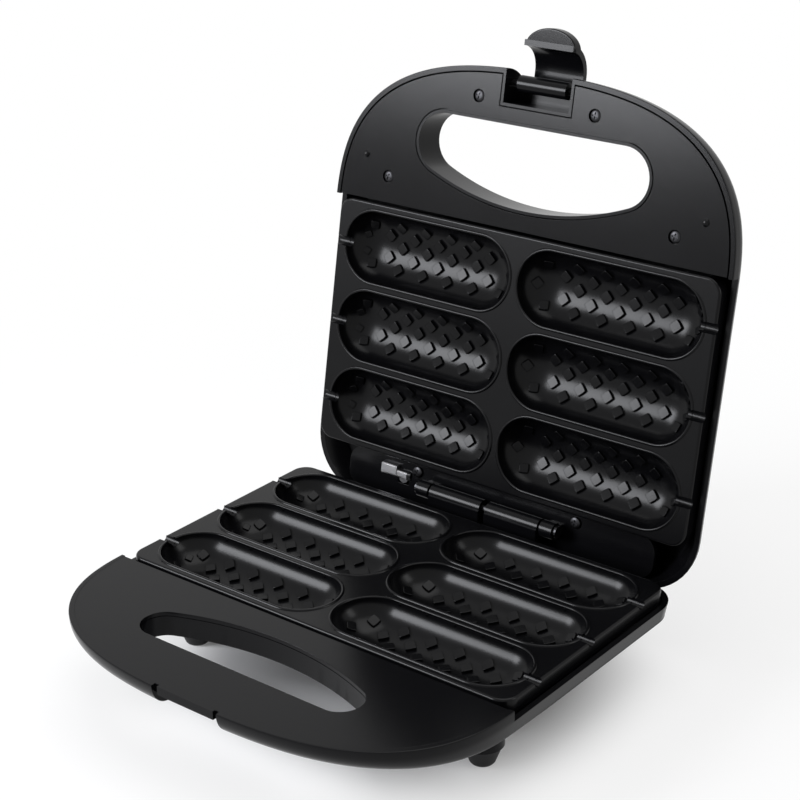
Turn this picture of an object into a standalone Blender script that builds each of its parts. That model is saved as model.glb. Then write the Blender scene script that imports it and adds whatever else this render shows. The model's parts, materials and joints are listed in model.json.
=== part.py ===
"""Six-place corn dog maker: a hinged clamshell with two cast cooking plates.

Every half is drawn in its own closed frame: x runs along the hinge, v runs from the hinge
axis towards the handle, and depth runs from the parting plane into the half. The lid's frame
hangs from an empty on the hinge axis, which is turned back by the opening angle.
"""
import math

import bmesh
import bpy
from mathutils import Matrix, Vector

mm = 0.001
degree = math.pi / 180

# Driving dimensions of the whole appliance
axis_rise = 1 * mm
open_angle = 100.5 * degree
fit_gap = 0.3 * mm
overrun = 4 * mm
weld_distance = 0.01 * mm
sharp_angle = 30 * degree

# Cavities and the stick grooves
cavity_columns = 2
cavity_rows = 3
cavity_length = 103.4 * mm
cavity_width = 36.8 * mm
cavity_depth = 13 * mm
cavity_middle_gap = 5.4 * mm
cavity_row_gap = 5.2 * mm
cavity_wall = 2 * mm
cavity_levels = 4
cavity_floor_share = 0.33
bead_root_share = 0.33
cavity_end_steps = 6
stick_radius = 2.6 * mm
stick_sink = 0.2 * mm

# Cooking plates, as large as their cavities and the borders round them
plate_rear = 11 * mm
plate_side_border = 6.4 * mm
plate_end_border = 4.6 * mm
plate_corner = 8 * mm
plate_thickness = 3.2 * mm
plate_skirt = 7.3 * mm
plate_skirt_wall = 3.2 * mm
plate_round = 1 * mm
bead_height = 0.6 * mm
bead_width = 1.6 * mm
bead_round = 0.4 * mm

# Housing halves
shell_skin = 2.4 * mm
plate_side_gap = 2.1 * mm
shoulder_setback = 6.4 * mm
handle_rim_drop = 2.2 * mm
side_rim_drop = 7.4 * mm
handle_fall = 0.6 * mm
handle_front_draw = 11 * mm
total_inset = 40 * mm
body_reach = 6 * mm
body_front_draw = 26 * mm
body_shoulder_length = 34 * mm
crown_clearance = 5.1 * mm
lid_handle_depth = 19.4 * mm
lid_edge_draw = 6.6 * mm
lid_rear = -16 * mm
lid_rear_draw = 24 * mm
lid_rear_corner = 30 * mm
base_handle_depth = 14.2 * mm
base_edge_draw = 1.4 * mm
base_rear = 4 * mm
base_rear_draw = 8 * mm
base_rear_corner = 18 * mm
front_power = 0.738
edge_shares = ((0.45, 0.1, 0.0), (0.7, 0.27, 0.5), (0.9, 0.55, 0.84), (1.0, 1.0, 1.0))
crown_shares = ((0.2, 0.14), (0.6, 0.6), (0.9, 0.88), (1.0, 1.0))
front_steps = 20
corner_steps = 4

# Finger hole through both handles
hole_front_border = 27.2 * mm
hole_height = 40.2 * mm
hole_rear_border = 11.6 * mm
hole_end_radius = 14.8 * mm
hole_arc_radius = 150 * mm
hole_wall = 1.8 * mm
base_hole_inset = 4 * mm
hole_end_steps = 6
hole_arc_steps = 9

# Handle panels
panel_reveal = 0.8 * mm
panel_rear_gap = 1.3 * mm
panel_thickness = 2 * mm
panel_seat_gap = 0.3 * mm
rim_step_gap = 0.5 * mm
nub_radius = 1.6 * mm
nub_height = 0.8 * mm
nub_side_inset = 17.7 * mm
nub_setback = 24 * mm

# Screws that hold the panels, and the bosses that they run into
front_screw_x = 33.6 * mm
front_screw_border = 16 * mm
side_screw_inset = 32.7 * mm
side_screw_border = 14.6 * mm
screw_head_radius = 3 * mm
screw_head_height = 1.2 * mm
screw_sink = 0.2 * mm
screw_shank_radius = 1.5 * mm
screw_length = 9 * mm
screw_clearance = 0.3 * mm
boss_radius = 4 * mm
screw_steps = 8

# Seats for the plates inside the housings
seat_rib_width = 3 * mm
seat_rib_reach = 3.4 * mm
seat_rib_depth = 6 * mm
seat_rib_shares = (0.14, 0.5, 0.86)

# Hinge
barrel_radius = 4.4 * mm
long_barrel_inner = 1.8 * mm
long_barrel_outer = 33.4 * mm
barrel_gap = 1.2 * mm
short_barrel_length = 7.4 * mm
pin_radius = 2 * mm
pin_bore_gap = 0.3 * mm
pin_head_radius = 3.2 * mm
pin_head_length = 1.4 * mm
hinge_web_depth = 14 * mm
hinge_steps = 16
stop_spacing = 12 * mm
stop_width = 8 * mm
stop_low = 18.5 * mm
stop_high = 11 * mm
stop_rest_gap = 0.4 * mm

# Rear band of the lid, which carries the short hinge barrels
band_side_gap = 22.5 * mm
band_plate_gap = 1.6 * mm
band_rear_border = 4.5 * mm
band_sink = 0.2 * mm
band_thickness = 2.4 * mm
band_corner = 8 * mm
band_screw_spacing = 7 * mm
band_screw_offset = 5.4 * mm
band_web_half = 2.6 * mm

# Latch: pivot, curved blade and half-round lip
latch_setback = 7.5 * mm
latch_pivot_depth = 9 * mm
latch_barrel_radius = 4.2 * mm
latch_pin_radius = 1.5 * mm
latch_half_width = 14.6 * mm
latch_waist = 14 * mm
latch_heel = 5 * mm
blade_clearance = 3 * mm
blade_thickness = 2.9 * mm
blade_bend_radius = 12.1 * mm
blade_bend_start = 6.5 * mm
blade_bend_steps = 8
latch_lip_reach = 18.6 * mm
latch_lip_height = 9.6 * mm
latch_lip_near = 0.6 * mm
latch_lip_thickness = 5.2 * mm
latch_head_steps = 12
notch_half_width = 19 * mm
notch_length = 17.2 * mm
notch_wall = 1.6 * mm
catch_length = 14 * mm
catch_setback = 1.4 * mm
catch_slot_width = 2.6 * mm
catch_slot_length = 3 * mm
latch_swing_gap = 0.35 * mm

# Feet
foot_height = 11 * mm
foot_front_inset = (30 * mm, 18 * mm)
foot_rear_inset = (43 * mm, 19 * mm)
foot_boss_radius = 10 * mm
foot_boss_proud = 1 * mm
foot_top_radius = 9 * mm
foot_tip_radius = 6 * mm
foot_round = 2 * mm
foot_steps = 14
foot_round_share = 0.3

# Heating elements, heat shields and what is mounted on them
heater_radius = 3.2 * mm
heater_row_inset = 5 * mm
heater_corner = 16 * mm
heater_lead_x = 12 * mm
heater_lead_reach = 7 * mm
heater_corner_steps = 4
shield_side_margin = 32.5 * mm
shield_end_margin = 19 * mm
shield_thickness = 0.8 * mm
shield_flange = 4 * mm
shield_corner = 10 * mm
stud_radius = 4.5 * mm
thermostat_radius = 9 * mm
thermostat_height = 6.5 * mm
thermostat_tab = 3 * mm
fuse_radius = 2 * mm
fuse_length = 18 * mm
fuse_x = 34 * mm

# Wiring at the rear of the base
gland_side_inset = 51 * mm
gland_crown_inset = 14 * mm
gland_bore_radius = 3.4 * mm
gland_body_radius = 5 * mm
gland_flange_radius = 6.6 * mm
gland_flange_length = 3 * mm
gland_body_length = 9 * mm
terminal_side_inset = 73 * mm
terminal_rear_border = 23 * mm
terminal_size = (24 * mm, 12 * mm, 9 * mm)
sleeve_spacing = 9 * mm
sleeve_radius = 3 * mm
sleeve_length = 10 * mm
sleeve_slot_gap = 0.4 * mm
sleeve_points = 4

# Indicator lamps in the crown of the lid
lamp_x = 13 * mm
lamp_front_border = 33 * mm
lamp_radius = 4 * mm
lamp_flange_radius = 5 * mm
lamp_flange_height = 1 * mm
lamp_dome = 1.2 * mm
lamp_dome_shares = (0.6, 0.8)
lamp_stem = 7 * mm
lamp_steps = 12

# Plates and the stack behind them, worked out from the dimensions above
cavity_from_middle = (cavity_length + cavity_middle_gap) / 2
cavity_row_pitch = cavity_width + cavity_row_gap
plate_width = cavity_columns * (cavity_from_middle + cavity_length / 2 + plate_side_border)
plate_length = (cavity_rows - 1) * cavity_row_pitch + cavity_width + 2 * plate_end_border
plate_front = plate_rear + plate_length
plate_middle = plate_rear + plate_length / 2
face_depth = fit_gap + bead_height
skirt_foot = face_depth + plate_skirt
cavity_low = face_depth + cavity_depth + cavity_wall
heater_depth = cavity_low + fit_gap + heater_radius
shield_depth = heater_depth + heater_radius + fit_gap
thermostat_low = shield_depth + shield_thickness + fit_gap + thermostat_height
body_depth = thermostat_low + crown_clearance + shell_skin
parting_height = body_depth + foot_height

# Plan of the housings, which follows the plates
shell_half_width = plate_width / 2 + plate_side_gap + shell_skin
shell_front = plate_front + hole_rear_border + hole_height + hole_front_border
shell_shoulder = plate_front - shoulder_setback
body_front = plate_front + body_reach
panel_rear = plate_front + panel_rear_gap
hole_front = shell_front - hole_front_border
hole_rear = plate_front + hole_rear_border
hole_end_v = hole_front - hole_end_radius
hole_arc_v = hole_rear + hole_arc_radius
hole_end_x = math.sqrt((hole_arc_radius - hole_end_radius) ** 2 - (hole_arc_v - hole_end_v) ** 2)
front_screw_place = (front_screw_x, shell_front - front_screw_border)
side_screw_place = (shell_half_width - side_screw_inset, plate_front + side_screw_border)
panel_screw_places = (front_screw_place, side_screw_place)
nub_place = (shell_half_width - nub_side_inset, plate_front + nub_setback)
foot_front_place = (shell_half_width - foot_front_inset[0], plate_front - foot_front_inset[1])
foot_rear_place = (shell_half_width - foot_rear_inset[0], plate_rear + foot_rear_inset[1])
foot_boss_depth = body_depth + foot_boss_proud
gland_place = (shell_half_width - gland_side_inset, body_depth - gland_crown_inset)
terminal_place = (shell_half_width - terminal_side_inset, base_rear + terminal_rear_border)
lamp_place = (lamp_x, plate_front - lamp_front_border)
fuse_place = (fuse_x, plate_middle)
band_half_width = shell_half_width - band_side_gap
short_barrel_inner = long_barrel_outer + barrel_gap
short_barrel_outer = short_barrel_inner + short_barrel_length
band_screw_place = (short_barrel_outer + band_screw_spacing, band_screw_offset)
sleeve_place = band_screw_place[0] + sleeve_spacing
stop_place = sleeve_place + stop_spacing
band_front = plate_rear - band_plate_gap
band_rear = lid_rear + band_rear_border
band_depth = side_rim_drop + band_sink

# Latch, and the catch whose lower edge the bend of its blade swings clear of
latch_pivot_v = shell_front - latch_setback
blade_inner = latch_setback + blade_clearance
blade_outer = blade_inner + blade_thickness
blade_bend_centre = blade_inner - blade_bend_radius
notch_rear = shell_front - notch_length
catch_rear = shell_front - catch_length
catch_front = shell_front - catch_setback
catch_face = catch_front - latch_pivot_v - blade_bend_centre
catch_bend = math.sqrt((blade_bend_radius - latch_swing_gap) ** 2 - catch_face ** 2)
catch_depth = blade_bend_start + catch_bend - latch_pivot_depth


def opened(v, depth):
    """Height and reach of a point of the lid once it is open, measured from the hinge axis."""
    rise = depth - axis_rise
    reach = -v * math.cos(open_angle) + rise * math.sin(open_angle)
    height = v * math.sin(open_angle) + rise * math.cos(open_angle)
    return reach, height


bend_reach = opened(latch_pivot_v + blade_bend_start, latch_pivot_depth + blade_bend_centre)[0]
back_reach = bend_reach + blade_bend_radius + blade_thickness
axis_y = (shell_front - back_reach) / 2


def clear_scene():
    for item in list(bpy.data.objects):
        bpy.data.objects.remove(item, do_unlink=True)


def make_collection(name):
    collection = bpy.data.collections.new(name)
    bpy.context.scene.collection.children.link(collection)
    return collection


def make_material(name, colour, roughness, metallic):
    material = bpy.data.materials.new(name)
    material.use_nodes = True
    shader = material.node_tree.nodes["Principled BSDF"]
    shader.inputs["Base Color"].default_value = (*colour, 1.0)
    shader.inputs["Roughness"].default_value = roughness
    shader.inputs["Metallic"].default_value = metallic
    return material


def make_empty(name, parent, location, turn=0.0):
    empty = bpy.data.objects.new(name, None)
    bpy.context.scene.collection.objects.link(empty)
    empty.parent = parent
    empty.location = location
    empty.rotation_euler = (turn, 0.0, 0.0)
    return empty


clear_scene()
part_collection = make_collection("corn_dog_maker")
cutter_collection = make_collection("cutters")
base_frame = make_empty("base_frame", None, (0, axis_y, parting_height))
lid_axis = make_empty("lid_axis", base_frame, (0, 0, axis_rise), -open_angle)
lid_frame = make_empty("lid_frame", lid_axis, (0, 0, -axis_rise))
latch_axis = make_empty("latch_axis", lid_frame, (0, -latch_pivot_v, latch_pivot_depth))


class Half:
    """One half of the clamshell: which way its depth runs, and what its pieces hang from."""

    def __init__(self, name, side, frame, rear, handle, hole_inset=0.0):
        self.name = name
        self.side = side
        self.frame = frame
        self.rear, self.rear_draw, self.rear_corner = rear
        self.handle_depth, self.edge_draw = handle
        self.hole_inset = hole_inset

    def at(self, x, v, depth):
        return Vector((x, -v, self.side * depth))


base = Half("base", -1, base_frame, (base_rear, base_rear_draw, base_rear_corner),
            (base_handle_depth, base_edge_draw), base_hole_inset)
lid = Half("lid", 1, lid_frame, (lid_rear, lid_rear_draw, lid_rear_corner), (lid_handle_depth, lid_edge_draw))

black_plastic = make_material("black_plastic", (0.028, 0.029, 0.032), 0.38, 0.0)
panel_plastic = make_material("panel_plastic", (0.040, 0.041, 0.045), 0.45, 0.0)
nonstick = make_material("nonstick_coating", (0.022, 0.022, 0.025), 0.42, 0.0)
steel = make_material("zinc_plated_steel", (0.62, 0.63, 0.65), 0.3, 1.0)
shield_metal = make_material("aluminised_sheet", (0.70, 0.71, 0.72), 0.35, 1.0)
heater_metal = make_material("heater_sheath", (0.33, 0.32, 0.31), 0.5, 1.0)
rubber = make_material("foot_rubber", (0.03, 0.03, 0.03), 0.8, 0.0)
ceramic = make_material("ceramic", (0.80, 0.79, 0.74), 0.5, 0.0)
wire_white = make_material("wire_sleeving", (0.75, 0.74, 0.70), 0.6, 0.0)
red_lens = make_material("red_lens", (0.60, 0.03, 0.02), 0.15, 0.0)
green_lens = make_material("green_lens", (0.05, 0.45, 0.08), 0.15, 0.0)


def finish_object(name, mesh, frame, material):
    """Link a mesh as a piece of the appliance, or as a cutter when it has no material."""
    piece = bpy.data.objects.new(name, mesh)
    piece.parent = frame
    if material is None:
        cutter_collection.objects.link(piece)
        piece.hide_render = True
        piece.display_type = "WIRE"
        return piece
    part_collection.objects.link(piece)
    mesh.materials.append(material)
    mesh.shade_smooth()
    mesh.set_sharp_from_angle(angle=sharp_angle)
    return piece


def mesh_from(bm, name):
    bmesh.ops.recalc_face_normals(bm, faces=bm.faces)
    mesh = bpy.data.meshes.new(name)
    bm.to_mesh(mesh)
    bm.free()
    return mesh


def add_loft(bm, rings):
    """Close a solid through rings of as many points each."""
    rows = [[bm.verts.new(point) for point in ring] for ring in rings]
    for low, high in zip(rows, rows[1:]):
        for i in range(len(low)):
            j = (i + 1) % len(low)
            bm.faces.new((low[i], low[j], high[j], high[i]))
    bm.faces.new(rows[0])
    bm.faces.new(rows[-1])


def loft(name, rings, frame, material=None):
    bm = bmesh.new()
    add_loft(bm, rings)
    return finish_object(name, mesh_from(bm, name), frame, material)


def add_box(bm, low, high):
    middle = (Vector(low) + Vector(high)) / 2
    size = [abs(b - a) for a, b in zip(low, high)]
    matrix = Matrix.Translation(middle) @ Matrix.Diagonal((*size, 1.0))
    bmesh.ops.create_cube(bm, size=1.0, matrix=matrix)


def add_cylinder(bm, start, end, radius, steps, end_radius=None):
    start, end = Vector(start), Vector(end)
    along = end - start
    turn = along.to_track_quat("Z", "Y").to_matrix().to_4x4()
    bmesh.ops.create_cone(bm, cap_ends=True, segments=steps, radius1=radius,
                          radius2=radius if end_radius is None else end_radius,
                          depth=along.length, matrix=Matrix.Translation((start + end) / 2) @ turn)


def solids(name, frame, material, build):
    """One object from whatever closed solids the build function adds to its mesh."""
    bm = bmesh.new()
    build(bm)
    return finish_object(name, mesh_from(bm, name), frame, material)


def combine(target, tool, operation):
    modifier = target.modifiers.new(tool.name, "BOOLEAN")
    modifier.operation = operation
    modifier.solver = "EXACT"
    modifier.object = tool
    return target


def cut(target, tool):
    return combine(target, tool, "DIFFERENCE")


def join(target, tool):
    return combine(target, tool, "UNION")


def turned(name, profile, frame, material, steps, origin, axis="Z"):
    """Turn a profile of (radius, height) points, top to bottom, with a Screw modifier."""
    bm = bmesh.new()
    closed = profile[0] == profile[-1]
    verts = [bm.verts.new((radius, 0, height)) for radius, height in profile[closed:]]
    for a, b in zip(verts, verts[1:] + verts[:closed]):
        bm.edges.new((a, b))
    mesh = bpy.data.meshes.new(name)
    bm.to_mesh(mesh)
    bm.free()
    piece = finish_object(name, mesh, frame, material)
    piece.location = origin
    if axis == "Y":
        piece.rotation_euler = (-math.pi / 2, 0, 0)
    if axis == "-Z":
        piece.rotation_euler = (math.pi, 0, 0)
    screw = piece.modifiers.new("turn", "SCREW")
    screw.steps = steps
    screw.render_steps = steps
    screw.use_merge_vertices = True
    screw.merge_threshold = weld_distance
    screw.use_smooth_shade = True
    return piece


def flat_outline(name, half, loops, depth, thickness, material=None):
    """A sheet with holes: a filled 2D curve, extruded by half its thickness each way."""
    curve = bpy.data.curves.new(name, "CURVE")
    curve.dimensions = "2D"
    curve.fill_mode = "BOTH"
    curve.extrude = thickness / 2
    for loop in loops:
        spline = curve.splines.new("POLY")
        spline.points.add(len(loop) - 1)
        for point, (x, v) in zip(spline.points, loop):
            point.co = (x, -v, 0, 1)
        spline.use_cyclic_u = True
    bm = curve_mesh(name, curve)
    bmesh.ops.translate(bm, verts=bm.verts, vec=(0, 0, half.side * (depth + thickness / 2)))
    return finish_object(name, mesh_from(bm, name), half.frame, material)


def curve_mesh(name, curve):
    """The mesh of a curve, with its caps welded on."""
    shape = bpy.data.objects.new(name + "_curve", curve)
    bpy.context.scene.collection.objects.link(shape)
    bpy.context.view_layer.update()
    mesh = bpy.data.meshes.new_from_object(shape.evaluated_get(bpy.context.evaluated_depsgraph_get()))
    bpy.data.objects.remove(shape, do_unlink=True)
    bm = bmesh.new()
    bm.from_mesh(mesh)
    bmesh.ops.remove_doubles(bm, verts=bm.verts, dist=weld_distance)
    return bm


def tube(name, points, radius, frame, material):
    """A round rod along points: a POLY curve with a bevel and filled caps."""
    curve = bpy.data.curves.new(name, "CURVE")
    curve.dimensions = "3D"
    curve.bevel_depth = radius
    curve.bevel_resolution = 2
    curve.use_fill_caps = True
    spline = curve.splines.new("POLY")
    spline.points.add(len(points) - 1)
    for target, point in zip(spline.points, points):
        target.co = (*point, 1)
    return finish_object(name, mesh_from(curve_mesh(name, curve), name), frame, material)


def front_curve(half_width, shoulder, front, start=0.0):
    """The rounded front of a plan, from its right end to its left, from the height start on."""
    first = math.asin(max(start - shoulder, 0) ** (1 / front_power) / (front - shoulder) ** (1 / front_power))
    points = []
    for i in range(front_steps + 1):
        angle = first + (math.pi - 2 * first) * i / front_steps
        across, along = math.cos(angle), math.sin(angle)
        x = half_width * math.copysign(abs(across) ** front_power, across)
        points.append((x, shoulder + (front - shoulder) * abs(along) ** front_power))
    return points


def d_outline(half_width, shoulder, front, rear, corner):
    """The plan of a housing: straight sides, a rounded front and two round rear corners."""
    points = front_curve(half_width, shoulder, front)
    for corner_x, start in ((corner - half_width, math.pi), (half_width - corner, 1.5 * math.pi)):
        for i in range(corner_steps + 1):
            angle = start + 0.5 * math.pi * i / corner_steps
            points.append((corner_x + corner * math.cos(angle), rear + corner + corner * math.sin(angle)))
    return points


def rounded_rectangle(half_width, front, rear, corner, steps=corner_steps):
    points = []
    centres = ((half_width - corner, front - corner), (corner - half_width, front - corner),
               (corner - half_width, rear + corner), (half_width - corner, rear + corner))
    for quarter, (x, v) in enumerate(centres):
        for i in range(steps + 1):
            angle = 0.5 * math.pi * (quarter + i / steps)
            points.append((x + corner * math.cos(angle), v + corner * math.sin(angle)))
    return points


def stadium(x, v, half_length, radius, steps=cavity_end_steps):
    points = []
    for end, start in ((1, -0.5 * math.pi), (-1, 0.5 * math.pi)):
        for i in range(steps + 1):
            angle = start + math.pi * i / steps
            centre = x + end * (half_length - cavity_width / 2)
            points.append((centre + radius * math.cos(angle), v + radius * math.sin(angle)))
    return points


def hole_outline(half, wall=0.0):
    """The finger hole: straight at the front, round at the ends, bowed towards the plate."""
    grow = wall - half.hole_inset
    points = []
    tangent = math.atan2(hole_end_v - hole_arc_v, hole_end_x)
    radius = hole_end_radius + grow
    for i in range(hole_end_steps + 1):
        angle = tangent + (0.5 * math.pi - tangent) * i / hole_end_steps
        points.append((hole_end_x + radius * math.cos(angle), hole_end_v + radius * math.sin(angle)))
    points += [(-x, v) for x, v in reversed(points)]
    sweep = -math.pi - 2 * tangent
    for i in range(1, hole_arc_steps):
        angle = -math.pi - tangent - sweep * i / hole_arc_steps
        reach = hole_arc_radius + grow
        points.append((reach * math.cos(angle), hole_arc_v + reach * math.sin(angle)))
    return points


def shell_levels(half):
    """Depth, draw-in, front and shoulder of each ring of a housing, from the handle's rim down."""
    levels = [(handle_rim_drop, 0.0, shell_front, shell_shoulder)]
    for deep, front_drawn, side_drawn in edge_shares:
        depth = handle_rim_drop + (half.handle_depth - handle_rim_drop) * deep
        levels.append((depth, half.edge_draw * side_drawn, shell_front - handle_front_draw * front_drawn,
                       shell_shoulder))
    start = half.handle_depth + handle_fall
    levels.append((start, half.edge_draw, body_front, body_front - body_shoulder_length))
    for deep, drawn in crown_shares:
        inset = half.edge_draw + (total_inset - half.edge_draw) * drawn
        front = body_front - body_front_draw * drawn
        levels.append((start + (body_depth - start) * deep, inset, front, front - body_shoulder_length))
    return levels


def shell_rings(half, skin=0.0):
    rings = []
    for number, (depth, inset, front, shoulder) in enumerate(shell_levels(half)):
        if skin and number == 0:
            depth -= overrun
        elif skin:
            depth -= skin
        width = shell_half_width - skin - inset
        rear = half.rear + skin + half.rear_draw * inset / total_inset
        plan = d_outline(width, shoulder, front - skin, rear, half.rear_corner - skin)
        rings.append([half.at(x, v, depth) for x, v in plan])
    return rings


def prism_rings(half, plan, near, far):
    return [[half.at(x, v, depth) for x, v in plan] for depth in (near, far)]


def panel_underside():
    return handle_rim_drop + panel_thickness


def screw_places(pattern):
    return [(side * x, v) for x, v in pattern for side in (-1, 1)]


def add_bosses(half, shell, places, top, radius=boss_radius, foot=body_depth):
    """Round bosses from the inside of the crown up to what they carry, trimmed to the housing."""
    def build(bm):
        for x, v in places:
            add_cylinder(bm, half.at(x, v, top), half.at(x, v, foot), radius, screw_steps)
    bosses = solids(shell.name + "_bosses_%d" % len(shell.modifiers), half.frame, None, build)
    trim = loft(bosses.name + "_trim", shell_rings(half, shell_skin / 2), half.frame)
    combine(bosses, trim, "INTERSECT")
    join(shell, bosses)


def add_bores(half, shell, places, radius, near, far, steps=screw_steps):
    def build(bm):
        for x, v in places:
            add_cylinder(bm, half.at(x, v, near), half.at(x, v, far), radius, steps)
    bores = solids(shell.name + "_bores_%d" % len(shell.modifiers), half.frame, None, build)
    cut(shell, bores)


def add_seat_ribs(half, shell):
    """Ribs on the side walls, which the plate's skirt stands on."""
    top = skirt_foot + fit_gap
    inner = plate_width / 2 - seat_rib_reach

    def build(bm):
        for side in (-1, 1):
            for share in seat_rib_shares:
                v = plate_rear + plate_length * share
                low = half.at(side * inner, v - seat_rib_width / 2, top)
                high = half.at(side * shell_half_width, v + seat_rib_width / 2, top + seat_rib_depth)
                add_box(bm, low, high)
    ribs = solids(shell.name + "_seat_ribs", half.frame, None, build)
    trim = loft(ribs.name + "_trim", shell_rings(half, shell_skin / 2), half.frame)
    combine(ribs, trim, "INTERSECT")
    join(shell, ribs)


def make_shell(half, notch=None):
    """A housing half: outer loft, hollowed, with the wall of the finger hole left standing."""
    shell = loft(half.name + "_shell", shell_rings(half), half.frame, black_plastic)
    hollow = loft(half.name + "_hollow", shell_rings(half, shell_skin), half.frame)
    depth_range = (-overrun, body_depth + overrun)
    wall = prism_rings(half, hole_outline(half, hole_wall), *depth_range)
    cut(hollow, loft(half.name + "_hole_post", wall, half.frame))
    if notch:
        cut(hollow, notch(half.name + "_notch_post", notch_wall))
    cut(shell, hollow)
    bore = prism_rings(half, hole_outline(half), *depth_range)
    cut(shell, loft(half.name + "_hole_bore", bore, half.frame))
    if notch:
        cut(shell, notch(half.name + "_notch_cut", 0.0))
    add_seat_ribs(half, shell)
    cut(shell, solids(half.name + "_side_rims", half.frame, None, lambda bm: add_box(
        bm, half.at(-shell_half_width - overrun, half.rear - overrun, -overrun),
        half.at(shell_half_width + overrun, panel_rear - rim_step_gap, side_rim_drop))))
    return shell


def lid_notch(name, wall):
    """The slot in the front of the lid that the latch hangs in."""
    half_width = notch_half_width + wall
    low = lid.at(-half_width, notch_rear - wall, -overrun)
    high = lid.at(half_width, shell_front + overrun, body_depth)
    return solids(name, lid.frame, None, lambda bm: add_box(bm, low, high))


def base_notch(name, wall):
    """The recess under the front edge of the base that the latch hooks into."""
    half_width = notch_half_width + wall
    low = base.at(-half_width, catch_rear - wall, catch_depth - wall)
    high = base.at(half_width, shell_front + overrun, body_depth)
    return solids(name, base.frame, None, lambda bm: add_box(bm, low, high))


def cut_catch(shell):
    """Set the catch back from the front edge of the base, with a slot at each of its ends."""
    def slots(bm):
        for low, high in both_sides(notch_half_width - catch_slot_width, notch_half_width):
            add_box(bm, base.at(low, shell_front - catch_slot_length, -overrun),
                    base.at(high, shell_front + overrun, catch_depth + overrun))
    cut(shell, solids("base_catch_slots", base.frame, None, slots))
    half_width = notch_half_width - catch_slot_width / 2
    low = base.at(-half_width, catch_front, -overrun)
    high = base.at(half_width, shell_front + overrun, body_depth)
    cut(shell, solids("base_catch_face", base.frame, None, lambda bm: add_box(bm, low, high)))


def hinge_barrels(spans, radius):
    def build(bm):
        for low, high in spans:
            add_cylinder(bm, (low, 0, axis_rise), (high, 0, axis_rise), radius, hinge_steps)
    return build


def both_sides(low, high):
    return ((-high, -low), (low, high))


def make_base_shell():
    shell = make_shell(base, base_notch)
    cut_catch(shell)

    def webs(bm):
        for low, high in both_sides(long_barrel_inner, long_barrel_outer):
            add_box(bm, (low, -base_rear - shell_skin / 2, -hinge_web_depth), (high, 0, axis_rise))
        for low, high in both_sides(stop_place, stop_place + stop_width):
            reach = opened(lid_rear, side_rim_drop)[0] - stop_rest_gap
            add_box(bm, (low, -base_rear - shell_skin / 2, -stop_low), (high, reach, -stop_high))
    join(shell, solids("base_hinge_webs", base.frame, None, webs))
    spans = both_sides(long_barrel_inner, long_barrel_outer)
    join(shell, solids("base_barrels", base.frame, None, hinge_barrels(spans, barrel_radius)))
    places = screw_places(panel_screw_places)
    add_bosses(base, shell, places, panel_underside())
    cut_panel_seat(base, shell)
    add_bores(base, shell, places, screw_shank_radius + screw_clearance, 0, body_depth + overrun)

    def foot_bosses(bm):
        for x, v in screw_places((foot_front_place, foot_rear_place)):
            add_cylinder(bm, base.at(x, v, base_handle_depth), base.at(x, v, foot_boss_depth),
                         foot_boss_radius, foot_steps)
    feet = solids("base_foot_bosses", base.frame, None, foot_bosses)
    inside = loft("base_foot_trim", shell_rings(base, shell_skin / 2), base.frame)
    cut(feet, inside)
    join(shell, feet)
    bore_span = ((-long_barrel_outer - overrun, long_barrel_outer + overrun),)
    cut(shell, solids("base_pin_bore", base.frame, None,
                      hinge_barrels(bore_span, pin_radius + pin_bore_gap)))
    gland_x, gland_depth = gland_place
    start = base.at(gland_x, base_rear - overrun, gland_depth)
    end = base.at(gland_x, base_rear + gland_body_length + overrun, gland_depth)
    cut(shell, solids("base_gland_bore", base.frame, None, lambda bm: add_cylinder(
        bm, start, end, gland_body_radius + fit_gap, hinge_steps)))
    return shell


def make_lid_shell():
    shell = make_shell(lid, lid_notch)
    places = screw_places(panel_screw_places)
    add_bosses(lid, shell, places, panel_underside())
    cut_panel_seat(lid, shell)
    add_bores(lid, shell, places, screw_shank_radius + screw_clearance, 0, lid_handle_depth - shell_skin)
    band_places = screw_places((band_screw_place,))
    band_low = band_depth + band_thickness + fit_gap
    add_bosses(lid, shell, band_places, band_low)
    add_bores(lid, shell, band_places, screw_shank_radius + screw_clearance, 0, band_low + screw_length)
    add_bores(lid, shell, screw_places((lamp_place,)), lamp_radius + fit_gap,
              body_depth - shell_skin - overrun, body_depth + overrun, lamp_steps)
    pin_low = lid.at(-notch_half_width - overrun, latch_pivot_v, latch_pivot_depth)
    pin_high = lid.at(notch_half_width + overrun, latch_pivot_v, latch_pivot_depth)
    cut(shell, solids("lid_latch_pin_bore", lid.frame, None, lambda bm: add_cylinder(
        bm, pin_low, pin_high, latch_pin_radius + pin_bore_gap, screw_steps)))
    return shell


def panel_plan(grow=0.0):
    reveal = shell_skin + panel_reveal - grow
    return front_curve(shell_half_width - reveal, shell_shoulder, shell_front - reveal, panel_rear - grow)


def cut_panel_seat(half, shell):
    """Room for the panel on the bosses and on the wall of the finger hole."""
    seat = prism_rings(half, panel_plan(panel_seat_gap), -overrun, panel_underside() + fit_gap)
    cut(shell, loft(half.name + "_panel_seat", seat, half.frame))


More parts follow.
